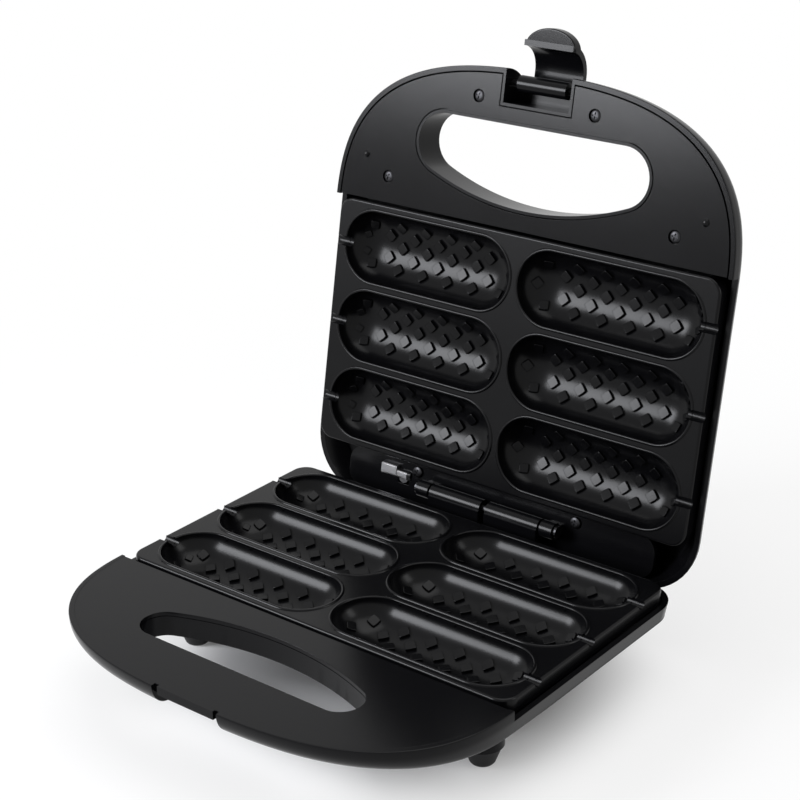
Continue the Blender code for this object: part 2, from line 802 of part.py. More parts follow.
def make_panel(half, notched, screws):
    """The inner panel of a handle, flush with the rim, with the finger hole through it."""
    panel = flat_outline(half.name + "_panel", half, [panel_plan(), hole_outline(half)], handle_rim_drop,
                         panel_thickness, panel_plastic)
    if notched:
        low = half.at(-notch_half_width, notch_rear, 0)
        high = half.at(notch_half_width, shell_front, body_depth)
        cut(panel, solids(half.name + "_panel_notch", half.frame, None, lambda bm: add_box(bm, low, high)))
    if screws:
        def seats(bm):
            for x, v in screw_places(panel_screw_places):
                head_floor = handle_rim_drop + screw_sink + screw_head_height + fit_gap
                add_cylinder(bm, half.at(x, v, 0), half.at(x, v, head_floor),
                             screw_head_radius + screw_clearance, screw_steps)

        def shanks(bm):
            for x, v in screw_places(panel_screw_places):
                add_cylinder(bm, half.at(x, v, 0), half.at(x, v, body_depth),
                             screw_shank_radius + screw_clearance, screw_steps)
        cut(panel, solids(half.name + "_panel_screw_seats", half.frame, None, seats))
        cut(panel, solids(half.name + "_panel_screw_holes", half.frame, None, shanks))

        def nubs(bm):
            for x, v in screw_places((nub_place,)):
                add_cylinder(bm, half.at(x, v, handle_rim_drop + panel_thickness / 2),
                             half.at(x, v, handle_rim_drop - nub_height), nub_radius, screw_steps)
        join(panel, solids(half.name + "_panel_nubs", half.frame, None, nubs))
    return panel


def cavity_places():
    """Middle of each cavity, and which end its stick leaves from."""
    places = []
    for column in range(cavity_columns):
        side = 2 * column - 1
        for row in range(cavity_rows):
            v = plate_middle + (row - (cavity_rows - 1) / 2) * cavity_row_pitch
            places.append((side * cavity_from_middle, v, side))
    return places


def cavity_rings(half, x, v, grow, steps, levels):
    """Rings of a cavity: a stadium that narrows as an ellipse with its depth."""
    radius = cavity_width / 2 + grow
    deep = cavity_depth + grow
    rings = []
    top = face_depth - overrun if not grow else face_depth + plate_thickness / 2
    if not grow:
        rings.append([half.at(a, b, top) for a, b in stadium(x, v, cavity_length / 2, radius, steps)])
    for level in range(levels):
        angle = 0.5 * math.pi * level / levels
        plan = stadium(x, v, cavity_length / 2, radius * math.cos(angle), steps)
        depth = max(face_depth + deep * math.sin(angle), top)
        rings.append([half.at(a, b, depth) for a, b in plan])
    flat = stadium(x, v, cavity_length / 2, radius * math.cos(angle) * cavity_floor_share, steps)
    rings.append([half.at(a, b, face_depth + deep) for a, b in flat])
    return rings


def make_plate(half):
    """A cast plate: rounded face, skirt, six beaded cavities and their stick grooves."""
    name = half.name + "_plate"
    rings = []
    for inset, depth in ((plate_round, face_depth), (0.0, face_depth + plate_round), (0.0, skirt_foot)):
        plan = rounded_rectangle(plate_width / 2 - inset, plate_front - inset, plate_rear + inset,
                                 plate_corner - inset)
        rings.append([half.at(x, v, depth) for x, v in plan])
    plate = loft(name, rings, half.frame, nonstick)
    inner = rounded_rectangle(plate_width / 2 - plate_skirt_wall, plate_front - plate_skirt_wall,
                              plate_rear + plate_skirt_wall, plate_corner - plate_skirt_wall)
    hollow = prism_rings(half, inner, face_depth + plate_thickness, skirt_foot + overrun)
    cut(plate, loft(name + "_hollow", hollow, half.frame))

    def studs(bm):
        for v in stud_rows():
            add_cylinder(bm, half.at(0, v, face_depth + plate_thickness / 2),
                         half.at(0, v, shield_depth - fit_gap), stud_radius, screw_steps)
    join(plate, solids(name + "_studs", half.frame, None, studs))

    def stud_bores(bm):
        for v in stud_rows():
            add_cylinder(bm, half.at(0, v, shield_depth - fit_gap - screw_length - fit_gap),
                         half.at(0, v, shield_depth), screw_shank_radius + screw_clearance, screw_steps)
    cut(plate, solids(name + "_stud_bores", half.frame, None, stud_bores))

    def bulges(bm):
        for x, v, _ in cavity_places():
            add_loft(bm, cavity_rings(half, x, v, cavity_wall, cavity_end_steps - 2, cavity_levels - 2))
    join(plate, solids(name + "_bulges", half.frame, None, bulges))

    def beads(bm):
        for x, v, _ in cavity_places():
            outer = cavity_width / 2 + bead_width
            root = face_depth + plate_thickness * bead_root_share
            shape = []
            for radius, depth in ((outer - bead_round, fit_gap), (outer, root)):
                shape.append([half.at(a, b, depth) for a, b in stadium(x, v, cavity_length / 2, radius)])
            add_loft(bm, shape)
    join(plate, solids(name + "_beads", half.frame, None, beads))

    def cavities(bm):
        for x, v, _ in cavity_places():
            add_loft(bm, cavity_rings(half, x, v, 0.0, cavity_end_steps, cavity_levels))
    cut(plate, solids(name + "_cavities", half.frame, None, cavities))

    def grooves(bm):
        for x, v, side in cavity_places():
            inner_end = x + side * (cavity_length - cavity_width) / 2
            outer_end = side * (plate_width / 2 + overrun)
            depth = face_depth + stick_sink
            add_cylinder(bm, half.at(inner_end, v, depth), half.at(outer_end, v, depth), stick_radius,
                         screw_steps)
    cut(plate, solids(name + "_grooves", half.frame, None, grooves))
    return plate


def stud_rows():
    return [plate_middle - cavity_row_pitch / 2, plate_middle + cavity_row_pitch / 2]


def make_heater(half):
    """A bent tubular element that lies along the bottoms of the outer rows of cavities."""
    reach = (cavity_rows - 1) / 2 * cavity_row_pitch - heater_row_inset
    rear = plate_middle - reach
    front = plate_middle + reach
    corners = ((cavity_from_middle, rear, -0.5), (cavity_from_middle, front, 0.0),
               (-cavity_from_middle, front, 0.5), (-cavity_from_middle, rear, 1.0))
    plan = [(heater_lead_x, rear - heater_lead_reach), (heater_lead_x, rear - heater_radius)]
    plan.append((heater_lead_x + heater_radius, rear))
    for x, v, start in corners:
        centre_x = x - math.copysign(heater_corner, x)
        centre_v = v - math.copysign(heater_corner, v - plate_middle)
        for i in range(heater_corner_steps + 1):
            angle = math.pi * (start + 0.5 * i / heater_corner_steps)
            plan.append((centre_x + heater_corner * math.cos(angle),
                         centre_v + heater_corner * math.sin(angle)))
    plan.append((-heater_lead_x - heater_radius, rear))
    plan += [(-heater_lead_x, rear - heater_radius), (-heater_lead_x, rear - heater_lead_reach)]
    points = [half.at(x, v, heater_depth) for x, v in plan]
    return tube(half.name + "_heater", points, heater_radius, half.frame, heater_metal)


def make_shield(half):
    """A pressed sheet pan behind the heater, with a turned-up flange and screw holes."""
    half_width = plate_width / 2 - shield_side_margin
    front = plate_front - shield_end_margin
    rear = plate_rear + shield_end_margin
    outer = rounded_rectangle(half_width, front, rear, shield_corner)
    rings = prism_rings(half, outer, shield_depth - shield_flange, shield_depth + shield_thickness)
    shield = loft(half.name + "_heat_shield", rings, half.frame, shield_metal)
    inner = rounded_rectangle(half_width - shield_thickness, front - shield_thickness,
                              rear + shield_thickness, shield_corner - shield_thickness)
    pan = prism_rings(half, inner, shield_depth - shield_flange - overrun, shield_depth)
    cut(shield, loft(half.name + "_shield_pan", pan, half.frame))
    places = [(0, v) for v in stud_rows()]
    add_bores(half, shield, places, screw_shank_radius + screw_clearance, 0, body_depth)
    return shield


def make_screws(name, half, places, head_depth, length, outward=-1):
    """Pan-head screws at each place, all of one mesh; outward says which way their heads look."""
    profile = [(0, 0), (screw_head_radius, 0), (screw_head_radius, -screw_head_height),
               (screw_shank_radius, -screw_head_height),
               (screw_shank_radius, -length), (0, -length)]
    first = None
    for number, (x, v) in enumerate(places, start=1):
        title = "%s_%d" % (name, number)
        if first is None:
            first = turned(title, profile, half.frame, steel, screw_steps, (0, 0, 0))
            screw = first
        else:
            screw = first.copy()
            screw.name = title
            part_collection.objects.link(screw)
        screw.location = half.at(x, v, head_depth)
        screw.rotation_euler = (0 if half.side * outward > 0 else math.pi, 0, 0)


def make_rear_band():
    """The strip across the rear of the lid that carries the short hinge barrels."""
    plan = rounded_rectangle(band_half_width, band_front, band_rear, band_corner)
    rings = prism_rings(lid, plan, band_depth, band_depth + band_thickness)
    band = loft("lid_rear_band", rings, lid.frame, black_plastic)

    def webs(bm):
        for low, high in both_sides(short_barrel_inner, short_barrel_outer):
            add_box(bm, (low, -band_web_half, axis_rise),
                    (high, band_web_half, band_depth + band_thickness / 2))
    join(band, solids("band_webs", lid.frame, None, webs))
    spans = both_sides(short_barrel_inner, short_barrel_outer)
    join(band, solids("band_barrels", lid.frame, None, hinge_barrels(spans, barrel_radius)))
    bore_span = ((-short_barrel_outer - overrun, short_barrel_outer + overrun),)
    cut(band, solids("band_pin_bore", lid.frame, None,
                     hinge_barrels(bore_span, pin_radius + pin_bore_gap)))
    add_bores(lid, band, screw_places((band_screw_place,)), screw_shank_radius + screw_clearance,
              0, body_depth)
    slot_low = lid.at(-sleeve_place - sleeve_radius - sleeve_slot_gap, -sleeve_radius - sleeve_slot_gap, 0)
    slot_high = lid.at(-sleeve_place + sleeve_radius + sleeve_slot_gap, sleeve_radius + sleeve_slot_gap,
                       body_depth)
    cut(band, solids("band_sleeve_slot", lid.frame, None, lambda bm: add_box(bm, slot_low, slot_high)))
    return band


def make_hinge_pin():
    """The pin through all four barrels, with a head at each end."""
    end = short_barrel_outer + fit_gap
    head = end + pin_head_length
    profile = [(0, head), (pin_head_radius, head), (pin_head_radius, end), (pin_radius, end),
               (pin_radius, -end), (pin_head_radius, -end), (pin_head_radius, -head), (0, -head)]
    pin = turned("hinge_pin", profile, base.frame, steel, hinge_steps, (0, 0, axis_rise))
    pin.rotation_euler = (0, math.pi / 2, 0)
    return pin


def blade_profile():
    """Side view of the latch blade: reach along the latch, and distance behind its pivot."""
    outer = [(-latch_heel / 2, blade_outer)]
    inner = [(-latch_heel / 2, blade_inner)]
    for i in range(blade_bend_steps + 1):
        angle = 0.5 * math.pi * i / blade_bend_steps
        for row, radius in ((outer, blade_bend_radius + blade_thickness), (inner, blade_bend_radius)):
            row.append((blade_bend_start + radius * math.sin(angle),
                        blade_bend_centre + radius * math.cos(angle)))
    return outer + inner[::-1]


def make_latch():
    """The swinging latch: barrel on its pin, heel, curved blade and a half-round lip."""
    def build(bm):
        add_cylinder(bm, (-latch_waist, 0, 0), (latch_waist, 0, 0), latch_barrel_radius, hinge_steps)
    latch = solids("latch", latch_axis, black_plastic, build)

    heel_far = blade_inner + blade_thickness / 2
    join(latch, solids("latch_heel", latch_axis, None, lambda bm: add_box(
        bm, (-latch_waist + fit_gap, -latch_heel / 2 + fit_gap, 0),
        (latch_waist - fit_gap, latch_heel / 2 - fit_gap, heel_far))))
    profile = blade_profile()
    rings = [[(x, -reach, back) for reach, back in profile] for x in (-latch_waist, latch_waist)]
    join(latch, loft("latch_blade", rings, latch_axis))
    dome = []
    for i in range(latch_head_steps + 1):
        angle = math.pi * i / latch_head_steps
        dome.append((latch_half_width * math.cos(angle),
                     latch_lip_reach + latch_lip_height * math.sin(angle)))
    lip_far = latch_lip_thickness - latch_lip_near
    rings = [[(x, -reach, back) for x, reach in dome] for back in (-latch_lip_near, lip_far)]
    join(latch, loft("latch_lip", rings, latch_axis))
    bore_end = latch_waist + overrun
    cut(latch, solids("latch_bore", latch_axis, None, lambda bm: add_cylinder(
        bm, (-bore_end, 0, 0), (bore_end, 0, 0), latch_pin_radius + pin_bore_gap, screw_steps)))
    return latch


def make_latch_pin():
    end = notch_half_width + notch_wall
    return solids("latch_pin", lid.frame, steel, lambda bm: add_cylinder(
        bm, lid.at(-end, latch_pivot_v, latch_pivot_depth), lid.at(end, latch_pivot_v, latch_pivot_depth),
        latch_pin_radius, screw_steps))


def make_feet():
    """Four tapered feet, seated under the bosses of the base."""
    top = -foot_boss_depth - fit_gap
    names = {(-1, 0): "foot_front_left", (1, 0): "foot_front_right",
             (-1, 1): "foot_rear_left", (1, 1): "foot_rear_right"}
    for (side, end), name in names.items():
        x, v = (foot_front_place, foot_rear_place)[end]
        tip = -parting_height
        profile = [(0, top), (foot_top_radius, top), (foot_tip_radius, tip + foot_round),
                   (foot_tip_radius - foot_round * foot_round_share, tip + foot_round * foot_round_share),
                   (foot_tip_radius - foot_round, tip), (0, tip)]
        turned(name, profile, base.frame, rubber, foot_steps, (side * x, -v, 0))


def make_lamps():
    """A red and a green lens, pressed into the crown of the lid from outside."""
    x, v = lamp_place
    for name, side, material in (("power_lamp", -1, red_lens), ("ready_lamp", 1, green_lens)):
        seat = body_depth + fit_gap
        top = seat + lamp_flange_height
        across, along = lamp_dome_shares
        profile = [(0, top + lamp_dome), (lamp_radius * across, top + lamp_dome * along),
                   (lamp_radius, top), (lamp_flange_radius, top), (lamp_flange_radius, seat),
                   (lamp_radius, seat), (lamp_radius, body_depth - lamp_stem), (0, body_depth - lamp_stem)]
        turned(name, profile, lid.frame, material, lamp_steps, (side * x, -v, 0))


def make_thermostat(half):
    """A bimetal thermostat on the back of the heat shield, with its two tabs."""
    near = thermostat_low - thermostat_height

    def build(bm):
        add_cylinder(bm, half.at(0, plate_middle, near), half.at(0, plate_middle, thermostat_low),
                     thermostat_radius, hinge_steps)
    thermostat = solids(half.name + "_thermostat", half.frame, ceramic, build)

    def tabs(bm):
        for side in (-1, 1):
            x = side * thermostat_radius
            low, high = plate_middle - thermostat_tab / 2, plate_middle + thermostat_tab / 2
            add_box(bm, half.at(x - thermostat_tab, low, near + thermostat_tab / 2),
                    half.at(x + thermostat_tab, high, near + thermostat_tab))
    join(thermostat, solids(half.name + "_thermostat_tabs", half.frame, None, tabs))
    return thermostat


def make_thermal_fuse():
    x, v = fuse_place
    depth = shield_depth + shield_thickness + fit_gap + fuse_radius
    return solids("thermal_fuse", base.frame, ceramic, lambda bm: add_cylinder(
        bm, base.at(x, v - fuse_length / 2, depth), base.at(x, v + fuse_length / 2, depth),
        fuse_radius, screw_steps))


def make_gland():
    """The bush in the rear wall of the base that the supply cord would leave through."""
    x, depth = gland_place
    near = fit_gap - base_rear
    profile = [(gland_bore_radius, gland_flange_length), (gland_flange_radius, gland_flange_length),
               (gland_flange_radius, 0), (gland_body_radius, 0), (gland_body_radius, -gland_body_length),
               (gland_bore_radius, -gland_body_length), (gland_bore_radius, gland_flange_length)]
    gland = turned("cord_gland", profile, base.frame, rubber, hinge_steps, (x, near, -depth))
    gland.rotation_euler = (-math.pi / 2, 0, 0)
    return gland


def make_terminal_block():
    x, v = terminal_place
    width, length, height = terminal_size
    floor = body_depth - shell_skin - fit_gap
    low = base.at(x - width / 2, v - length / 2, floor - height)
    high = base.at(x + width / 2, v + length / 2, floor)
    return solids("terminal_block", base.frame, ceramic, lambda bm: add_box(bm, low, high))


def make_sleeve():
    """The insulating sleeve of the lid's wires, where it rises through the rear band."""
    start = band_depth - fit_gap
    step = sleeve_length / sleeve_points
    points = [lid.at(-sleeve_place, 0, start + step * i) for i in range(sleeve_points + 1)]
    return tube("wire_sleeve", points, sleeve_radius, lid.frame, wire_white)


def build_half(half):
    make_plate(half)
    make_heater(half)
    make_shield(half)
    make_thermostat(half)
    make_screws(half.name + "_plate_screw", half, [(0, v) for v in stud_rows()],
                shield_depth + shield_thickness + fit_gap + screw_head_height, screw_length, outward=1)


make_base_shell()
make_lid_shell()
make_panel(base, notched=False, screws=False)
make_panel(lid, notched=True, screws=True)
build_half(base)
build_half(lid)
make_rear_band()
make_hinge_pin()
make_latch()
make_latch_pin()
make_feet()
make_lamps()
make_thermal_fuse()
make_gland()
make_terminal_block()
make_sleeve()
make_screws("lid_panel_screw", lid, screw_places(panel_screw_places), handle_rim_drop + screw_sink,
            screw_length)
make_screws("base_panel_screw", base, screw_places(panel_screw_places),
            base_handle_depth + handle_fall + fit_gap + screw_head_height, screw_length, outward=1)
make_screws("lid_band_screw", lid, screw_places((band_screw_place,)),
            band_depth - fit_gap - screw_head_height, screw_length)
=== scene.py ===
"""Looks of the corn dog maker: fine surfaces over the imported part, materials, light and camera."""
import json
import math

import bmesh
import bpy
import numpy as np
from mathutils import Matrix, Quaternion, Vector


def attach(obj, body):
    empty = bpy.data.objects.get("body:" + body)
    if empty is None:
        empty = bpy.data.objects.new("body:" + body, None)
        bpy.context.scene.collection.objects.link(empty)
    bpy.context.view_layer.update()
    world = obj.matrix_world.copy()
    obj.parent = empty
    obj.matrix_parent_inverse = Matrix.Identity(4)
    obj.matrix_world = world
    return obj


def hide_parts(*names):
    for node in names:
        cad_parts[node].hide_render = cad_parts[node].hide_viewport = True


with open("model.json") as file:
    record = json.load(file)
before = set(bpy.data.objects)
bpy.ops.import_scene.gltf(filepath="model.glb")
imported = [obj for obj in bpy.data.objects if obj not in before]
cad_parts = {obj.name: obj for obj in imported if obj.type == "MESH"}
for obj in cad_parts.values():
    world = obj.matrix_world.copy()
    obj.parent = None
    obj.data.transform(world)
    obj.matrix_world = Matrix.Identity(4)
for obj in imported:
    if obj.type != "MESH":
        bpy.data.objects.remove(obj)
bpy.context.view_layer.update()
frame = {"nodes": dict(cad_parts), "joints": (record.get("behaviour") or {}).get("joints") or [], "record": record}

mm = 0.001
degree = math.pi / 180

# Frame of the two halves
parting_height = 49 * mm
axis_rise = 1 * mm
open_angle = 100.5 * degree
axis_y = frame["joints"][0]["pos_m"][1]

# Sizes down to the floor are in millimetres, and places are in a half's own frame: x across, v from the
# hinge towards the handle, and the depth behind the parting plane.

# Housings
half_width = 117.0
shell_front = 219.7
shell_shoulder = 134.6
front_power = 0.738
skin = 2.4
handle_rim = 2.2
side_rim = 7.4
rim_end = 141.8
handle_fall = 0.6
front_draw = 11.0
body_depth = 38.0
total_inset = 40.0
body_front = 147.0
body_front_draw = 26.0
body_shoulder = 34.0
crown_curve = ((0.0, 0.0), (0.08, 0.04), (0.2, 0.14), (0.4, 0.36), (0.6, 0.59), (0.8, 0.78), (0.9, 0.88),
               (0.965, 0.945), (0.99, 0.98), (1.0, 1.0))
half_shapes = {
    "base": {"depth": 14.2, "draw": 1.4, "rear": 4.0, "rear_draw": 8.0, "corner": 18.0, "hole": -4.0},
    "lid": {"depth": 19.4, "draw": 6.6, "rear": -16.0, "rear_draw": 24.0, "corner": 30.0, "hole": 0.0}}

# Plates and moulds
plate_half = 112.5
plate_rear = 11.0
plate_front = 141.0
plate_corner = 8.0
face = 0.9
skirt_foot = 8.2
mould_half = 51.7
mould_radius = 18.4
mould_depth = 13.0
mould_rows = (34.0, 76.0, 118.0)
mould_x = 54.4
bead_top = 0.3
groove_radius = 2.6
groove_depth = face + 0.2

# Handle panels
panel_reveal = 0.8
inner_rim = 1.5
panel_groove = 0.55
panel_rear = 142.3
panel_thickness = 2.0
panel_screws = ((33.6, 204.0), (84.3, 155.6))
nub_place = (99.3, 165.0)

# Hinge, latch and feet
barrel_radius = 4.4
long_barrel = (1.8, 33.4)
short_barrel = (34.6, 42.0)
latch_v = 212.5
latch_depth = 9.0
notch_half = 19.0
notch_rear = 202.8
notch_back = 17.0
foot_places = {"front": (87.0, 123.0), "rear": (74.0, 30.0)}


def base_point(x, v, d):
    return Vector((x * mm, axis_y - v * mm, parting_height - d * mm))


def lid_point(x, v, d):
    rise = d - axis_rise / mm
    reach = -v * math.cos(open_angle) + rise * math.sin(open_angle)
    height = v * math.sin(open_angle) + rise * math.cos(open_angle)
    return Vector((x * mm, axis_y + reach * mm, parting_height + axis_rise + height * mm))


def half_matrix(half):
    """From a half's own frame (x, v, depth) in millimetres to the world."""
    at = base_point if half == "base" else lid_point
    origin = at(0, 0, 0)
    columns = [(at(*axis) - origin) for axis in ((1, 0, 0), (0, 1, 0), (0, 0, 1))]
    matrix = Matrix.Identity(4)
    for i, column in enumerate(columns):
        for j in range(3):
            matrix[j][i] = column[j]
        matrix[i][3] = origin[i]
    return matrix


# Materials
def new_material(name):
    material = bpy.data.materials.new(name)
    material.use_nodes = True
    nodes = material.node_tree.nodes
    return material, nodes, material.node_tree.links, nodes["Principled BSDF"]


def add_node(nodes, kind, **values):
    node = nodes.new(kind)
    for key, value in values.items():
        if hasattr(node, key):
            setattr(node, key, value)
        else:
            node.inputs[key.replace("_", " ")].default_value = value
    return node


def grained(name, colour, roughness, spread=0.25, grain=900.0, bump=0.08, metallic=0.0, spec=0.5, coat=0.0,
            mottling=18.0, coat_rough=0.15):
    """A moulded or coated surface: uneven colour and gloss, with a fine grain in its relief."""
    material, nodes, links, shader = new_material(name)
    coord = add_node(nodes, "ShaderNodeTexCoord")
    large = add_node(nodes, "ShaderNodeTexNoise", Scale=mottling, Detail=4.0, Roughness=0.6)
    links.new(coord.outputs["Object"], large.inputs["Vector"])
    tone = add_node(nodes, "ShaderNodeMapRange")
    tone.inputs["To Min"].default_value = 1.0 - spread
    tone.inputs["To Max"].default_value = 1.0 + spread
    links.new(large.outputs["Fac"], tone.inputs["Value"])
    mix = add_node(nodes, "ShaderNodeVectorMath", operation="SCALE")
    mix.inputs[0].default_value = colour
    links.new(tone.outputs["Result"], mix.inputs["Scale"])
    links.new(mix.outputs["Vector"], shader.inputs["Base Color"])
    gloss = add_node(nodes, "ShaderNodeMapRange")
    gloss.inputs["To Min"].default_value = roughness * (1.0 - spread * 0.5)
    gloss.inputs["To Max"].default_value = roughness * (1.0 + spread * 0.5)
    links.new(large.outputs["Fac"], gloss.inputs["Value"])
    links.new(gloss.outputs["Result"], shader.inputs["Roughness"])
    fine = add_node(nodes, "ShaderNodeTexNoise", Scale=grain, Detail=3.0, Roughness=0.7)
    links.new(coord.outputs["Object"], fine.inputs["Vector"])
    relief = add_node(nodes, "ShaderNodeBump", Strength=bump, Distance=0.0002)
    links.new(fine.outputs["Fac"], relief.inputs["Height"])
    links.new(relief.outputs["Normal"], shader.inputs["Normal"])
    shader.inputs["Metallic"].default_value = metallic
    shader.inputs["Specular IOR Level"].default_value = spec
    shader.inputs["Coat Weight"].default_value = coat
    shader.inputs["Coat Roughness"].default_value = coat_rough
    return material


looks = {
    "housing_plastic": grained("housing_black", (0.0025, 0.0025, 0.003), 0.21, grain=1400, bump=0.03, spec=0.13),
    "panel_plastic": grained("panel_black", (0.0025, 0.0025, 0.003), 0.16, grain=1600, bump=0.10, spec=0.13),
    "nonstick_coating": grained("nonstick_black", (0.002, 0.002, 0.0024), 0.24, grain=1200, bump=0.06, spec=0.13),
    "plated_steel": grained("blackened_steel", (0.03, 0.03, 0.032), 0.34, grain=700, bump=0.05, metallic=1.0),
    "shield_sheet": grained("aluminised_sheet", (0.66, 0.67, 0.68), 0.34, grain=500, bump=0.1, metallic=1.0),
    "heater_sheath": grained("heater_sheath", (0.30, 0.28, 0.26), 0.45, grain=400, bump=0.15, metallic=1.0),
    "rubber": grained("foot_rubber", (0.006, 0.006, 0.0065), 0.6, grain=900, bump=0.15, spec=0.3),
    "ceramic": grained("ceramic", (0.76, 0.75, 0.70), 0.5, spread=0.08, grain=600, bump=0.1),
    "wire_sleeving": grained("wire_sleeving", (0.035, 0.035, 0.037), 0.5, spread=0.2, grain=1800, bump=0.4),
    "red_lens": grained("red_lens", (0.55, 0.03, 0.02), 0.12, spread=0.1, grain=300, bump=0.02, coat=0.5),
    "green_lens": grained("green_lens", (0.04, 0.40, 0.08), 0.12, spread=0.1, grain=300, bump=0.02, coat=0.5),
}
bright_steel = grained("bright_steel", (0.42, 0.42, 0.43), 0.28, grain=700, bump=0.05, metallic=1.0)


def paint(piece, slot):
    piece.data.materials.clear()
    piece.data.materials.append(looks[slot])


slots = {row["node"]: row["material_slot"] for row in frame["record"]["subparts"]}
for name, piece in frame["nodes"].items():
    paint(piece, slots[name])


# Shapes in a half's own frame
def place(half, bm, name, slot, body, replaced=(), smooth_angle=35.0, bevel=0.0, bevel_steps=2):
    """Turn a mesh in a half's frame into a finished piece of the scene."""
    bmesh.ops.transform(bm, matrix=half_matrix(half), verts=bm.verts)
    bmesh.ops.recalc_face_normals(bm, faces=bm.faces)
    mesh = bpy.data.meshes.new(name)
    bm.to_mesh(mesh)
    bm.free()
    piece = bpy.data.objects.new(name, mesh)
    bpy.context.scene.collection.objects.link(piece)
    if bevel:
        round_edges(piece, bevel, bevel_steps)
    piece.data.shade_smooth()
    piece.data.set_sharp_from_angle(angle=smooth_angle * degree)
    level_faces(piece)
    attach(piece, body)
    if replaced:
        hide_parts(*replaced)
    paint(piece, slot)
    return piece


def round_edges(piece, width, steps, angle=32.0):
    modifier = piece.modifiers.new("round", "BEVEL")
    modifier.width = width * mm
    modifier.segments = steps
    modifier.limit_method = "ANGLE"
    modifier.angle_limit = angle * degree
    apply_modifiers(piece)


def level_faces(piece):
    """Turn the shading over wide faces to the way those faces look, so that flats read as flat."""
    modifier = piece.modifiers.new("level", "WEIGHTED_NORMAL")
    modifier.weight = 100
    modifier.keep_sharp = True
    apply_modifiers(piece)


def apply_modifiers(piece):
    graph = bpy.context.evaluated_depsgraph_get()
    mesh = bpy.data.meshes.new_from_object(piece.evaluated_get(graph), depsgraph=graph)
    old = piece.data
    piece.modifiers.clear()
    piece.data = mesh
    bpy.data.meshes.remove(old)


def loft_bm(rings):
    bm = bmesh.new()
    rows = [[bm.verts.new(point) for point in ring] for ring in rings]
    for low, high in zip(rows, rows[1:]):
        for i in range(len(low)):
            j = (i + 1) % len(low)
            bm.faces.new((low[i], low[j], high[j], high[i]))
    bm.faces.new(rows[0])
    bm.faces.new(rows[-1])
    return bm


def solid_from(bm, name="tool"):
    bmesh.ops.recalc_face_normals(bm, faces=bm.faces)
    mesh = bpy.data.meshes.new(name)
    bm.to_mesh(mesh)
    bm.free()
    piece = bpy.data.objects.new(name, mesh)
    bpy.context.scene.collection.objects.link(piece)
    return piece


def carve(body, *steps):
    """Cut from or join to a solid, in order; the tools are removed afterwards. Returns a bmesh."""
    tools = []
    for kind, tool in steps:
        modifier = body.modifiers.new("step", "BOOLEAN")
        modifier.operation = {"cut": "DIFFERENCE", "join": "UNION"}[kind]
        modifier.solver = "EXACT"
        modifier.object = tool
        tools.append(tool)
    bpy.context.view_layer.update()
    graph = bpy.context.evaluated_depsgraph_get()
    mesh = bpy.data.meshes.new_from_object(body.evaluated_get(graph), depsgraph=graph)
    bm = bmesh.new()
    bm.from_mesh(mesh)
    bpy.data.meshes.remove(mesh)
    for tool in tools + [body]:
        bpy.data.objects.remove(tool, do_unlink=True)
    return bm


def ring(outline, depth):
    return [(x, v, depth) for x, v in outline]


def prism(outline, near, far):
    return solid_from(loft_bm([ring(outline, near), ring(outline, far)]))


def block(low, high):
    bm = bmesh.new()
    middle = [(a + b) / 2 for a, b in zip(low, high)]
    size = [abs(b - a) for a, b in zip(low, high)]
    bmesh.ops.create_cube(bm, size=1.0, matrix=Matrix.Translation(middle) @ Matrix.Diagonal((*size, 1.0)))
    return solid_from(bm)


def rod(start, end, radius, steps=32):
    bm = bmesh.new()
    start, end = Vector(start), Vector(end)
    along = end - start
    turn = along.to_track_quat("Z", "Y").to_matrix().to_4x4()
    bmesh.ops.create_cone(bm, cap_ends=True, segments=steps, radius1=radius, radius2=radius,
                          depth=along.length, matrix=Matrix.Translation((start + end) / 2) @ turn)
    return solid_from(bm)


def front_curve(width, shoulder, front, start=0.0, steps=96):
    first = math.asin((max(start - shoulder, 0.0) / (front - shoulder)) ** (1 / front_power))
    points = []
    for i in range(steps + 1):
        angle = first + (math.pi - 2 * first) * i / steps
        across, along = math.cos(angle), math.sin(angle)
        x = width * math.copysign(abs(across) ** front_power, across)
        points.append((x, shoulder + (front - shoulder) * abs(along) ** front_power))
    return points


def d_outline(width, shoulder, front, rear, corner, steps=96, turn_steps=12):
    points = front_curve(width, shoulder, front, steps=steps)
    for corner_x, start in ((corner - width, math.pi), (width - corner, 1.5 * math.pi)):
        for i in range(turn_steps + 1):
            angle = start + 0.5 * math.pi * i / turn_steps
            points.append((corner_x + corner * math.cos(angle), rear + corner + corner * math.sin(angle)))
    return points


def rounded_box(width, front, rear, corner, steps=10):
    points = []
    centres = ((width - corner, front - corner), (corner - width, front - corner),
               (corner - width, rear + corner), (width - corner, rear + corner))
    for quarter, (x, v) in enumerate(centres):
        for i in range(steps + 1):
            angle = 0.5 * math.pi * (quarter + i / steps)
            points.append((x + corner * math.cos(angle), v + corner * math.sin(angle)))
    return points


def stadium(x, v, reach, radius, steps=24):
    points = []
    for end, start in ((1, -0.5 * math.pi), (-1, 0.5 * math.pi)):
        for i in range(steps + 1):
            angle = start + math.pi * i / steps
            points.append((x + end * reach + radius * math.cos(angle), v + radius * math.sin(angle)))
    return points


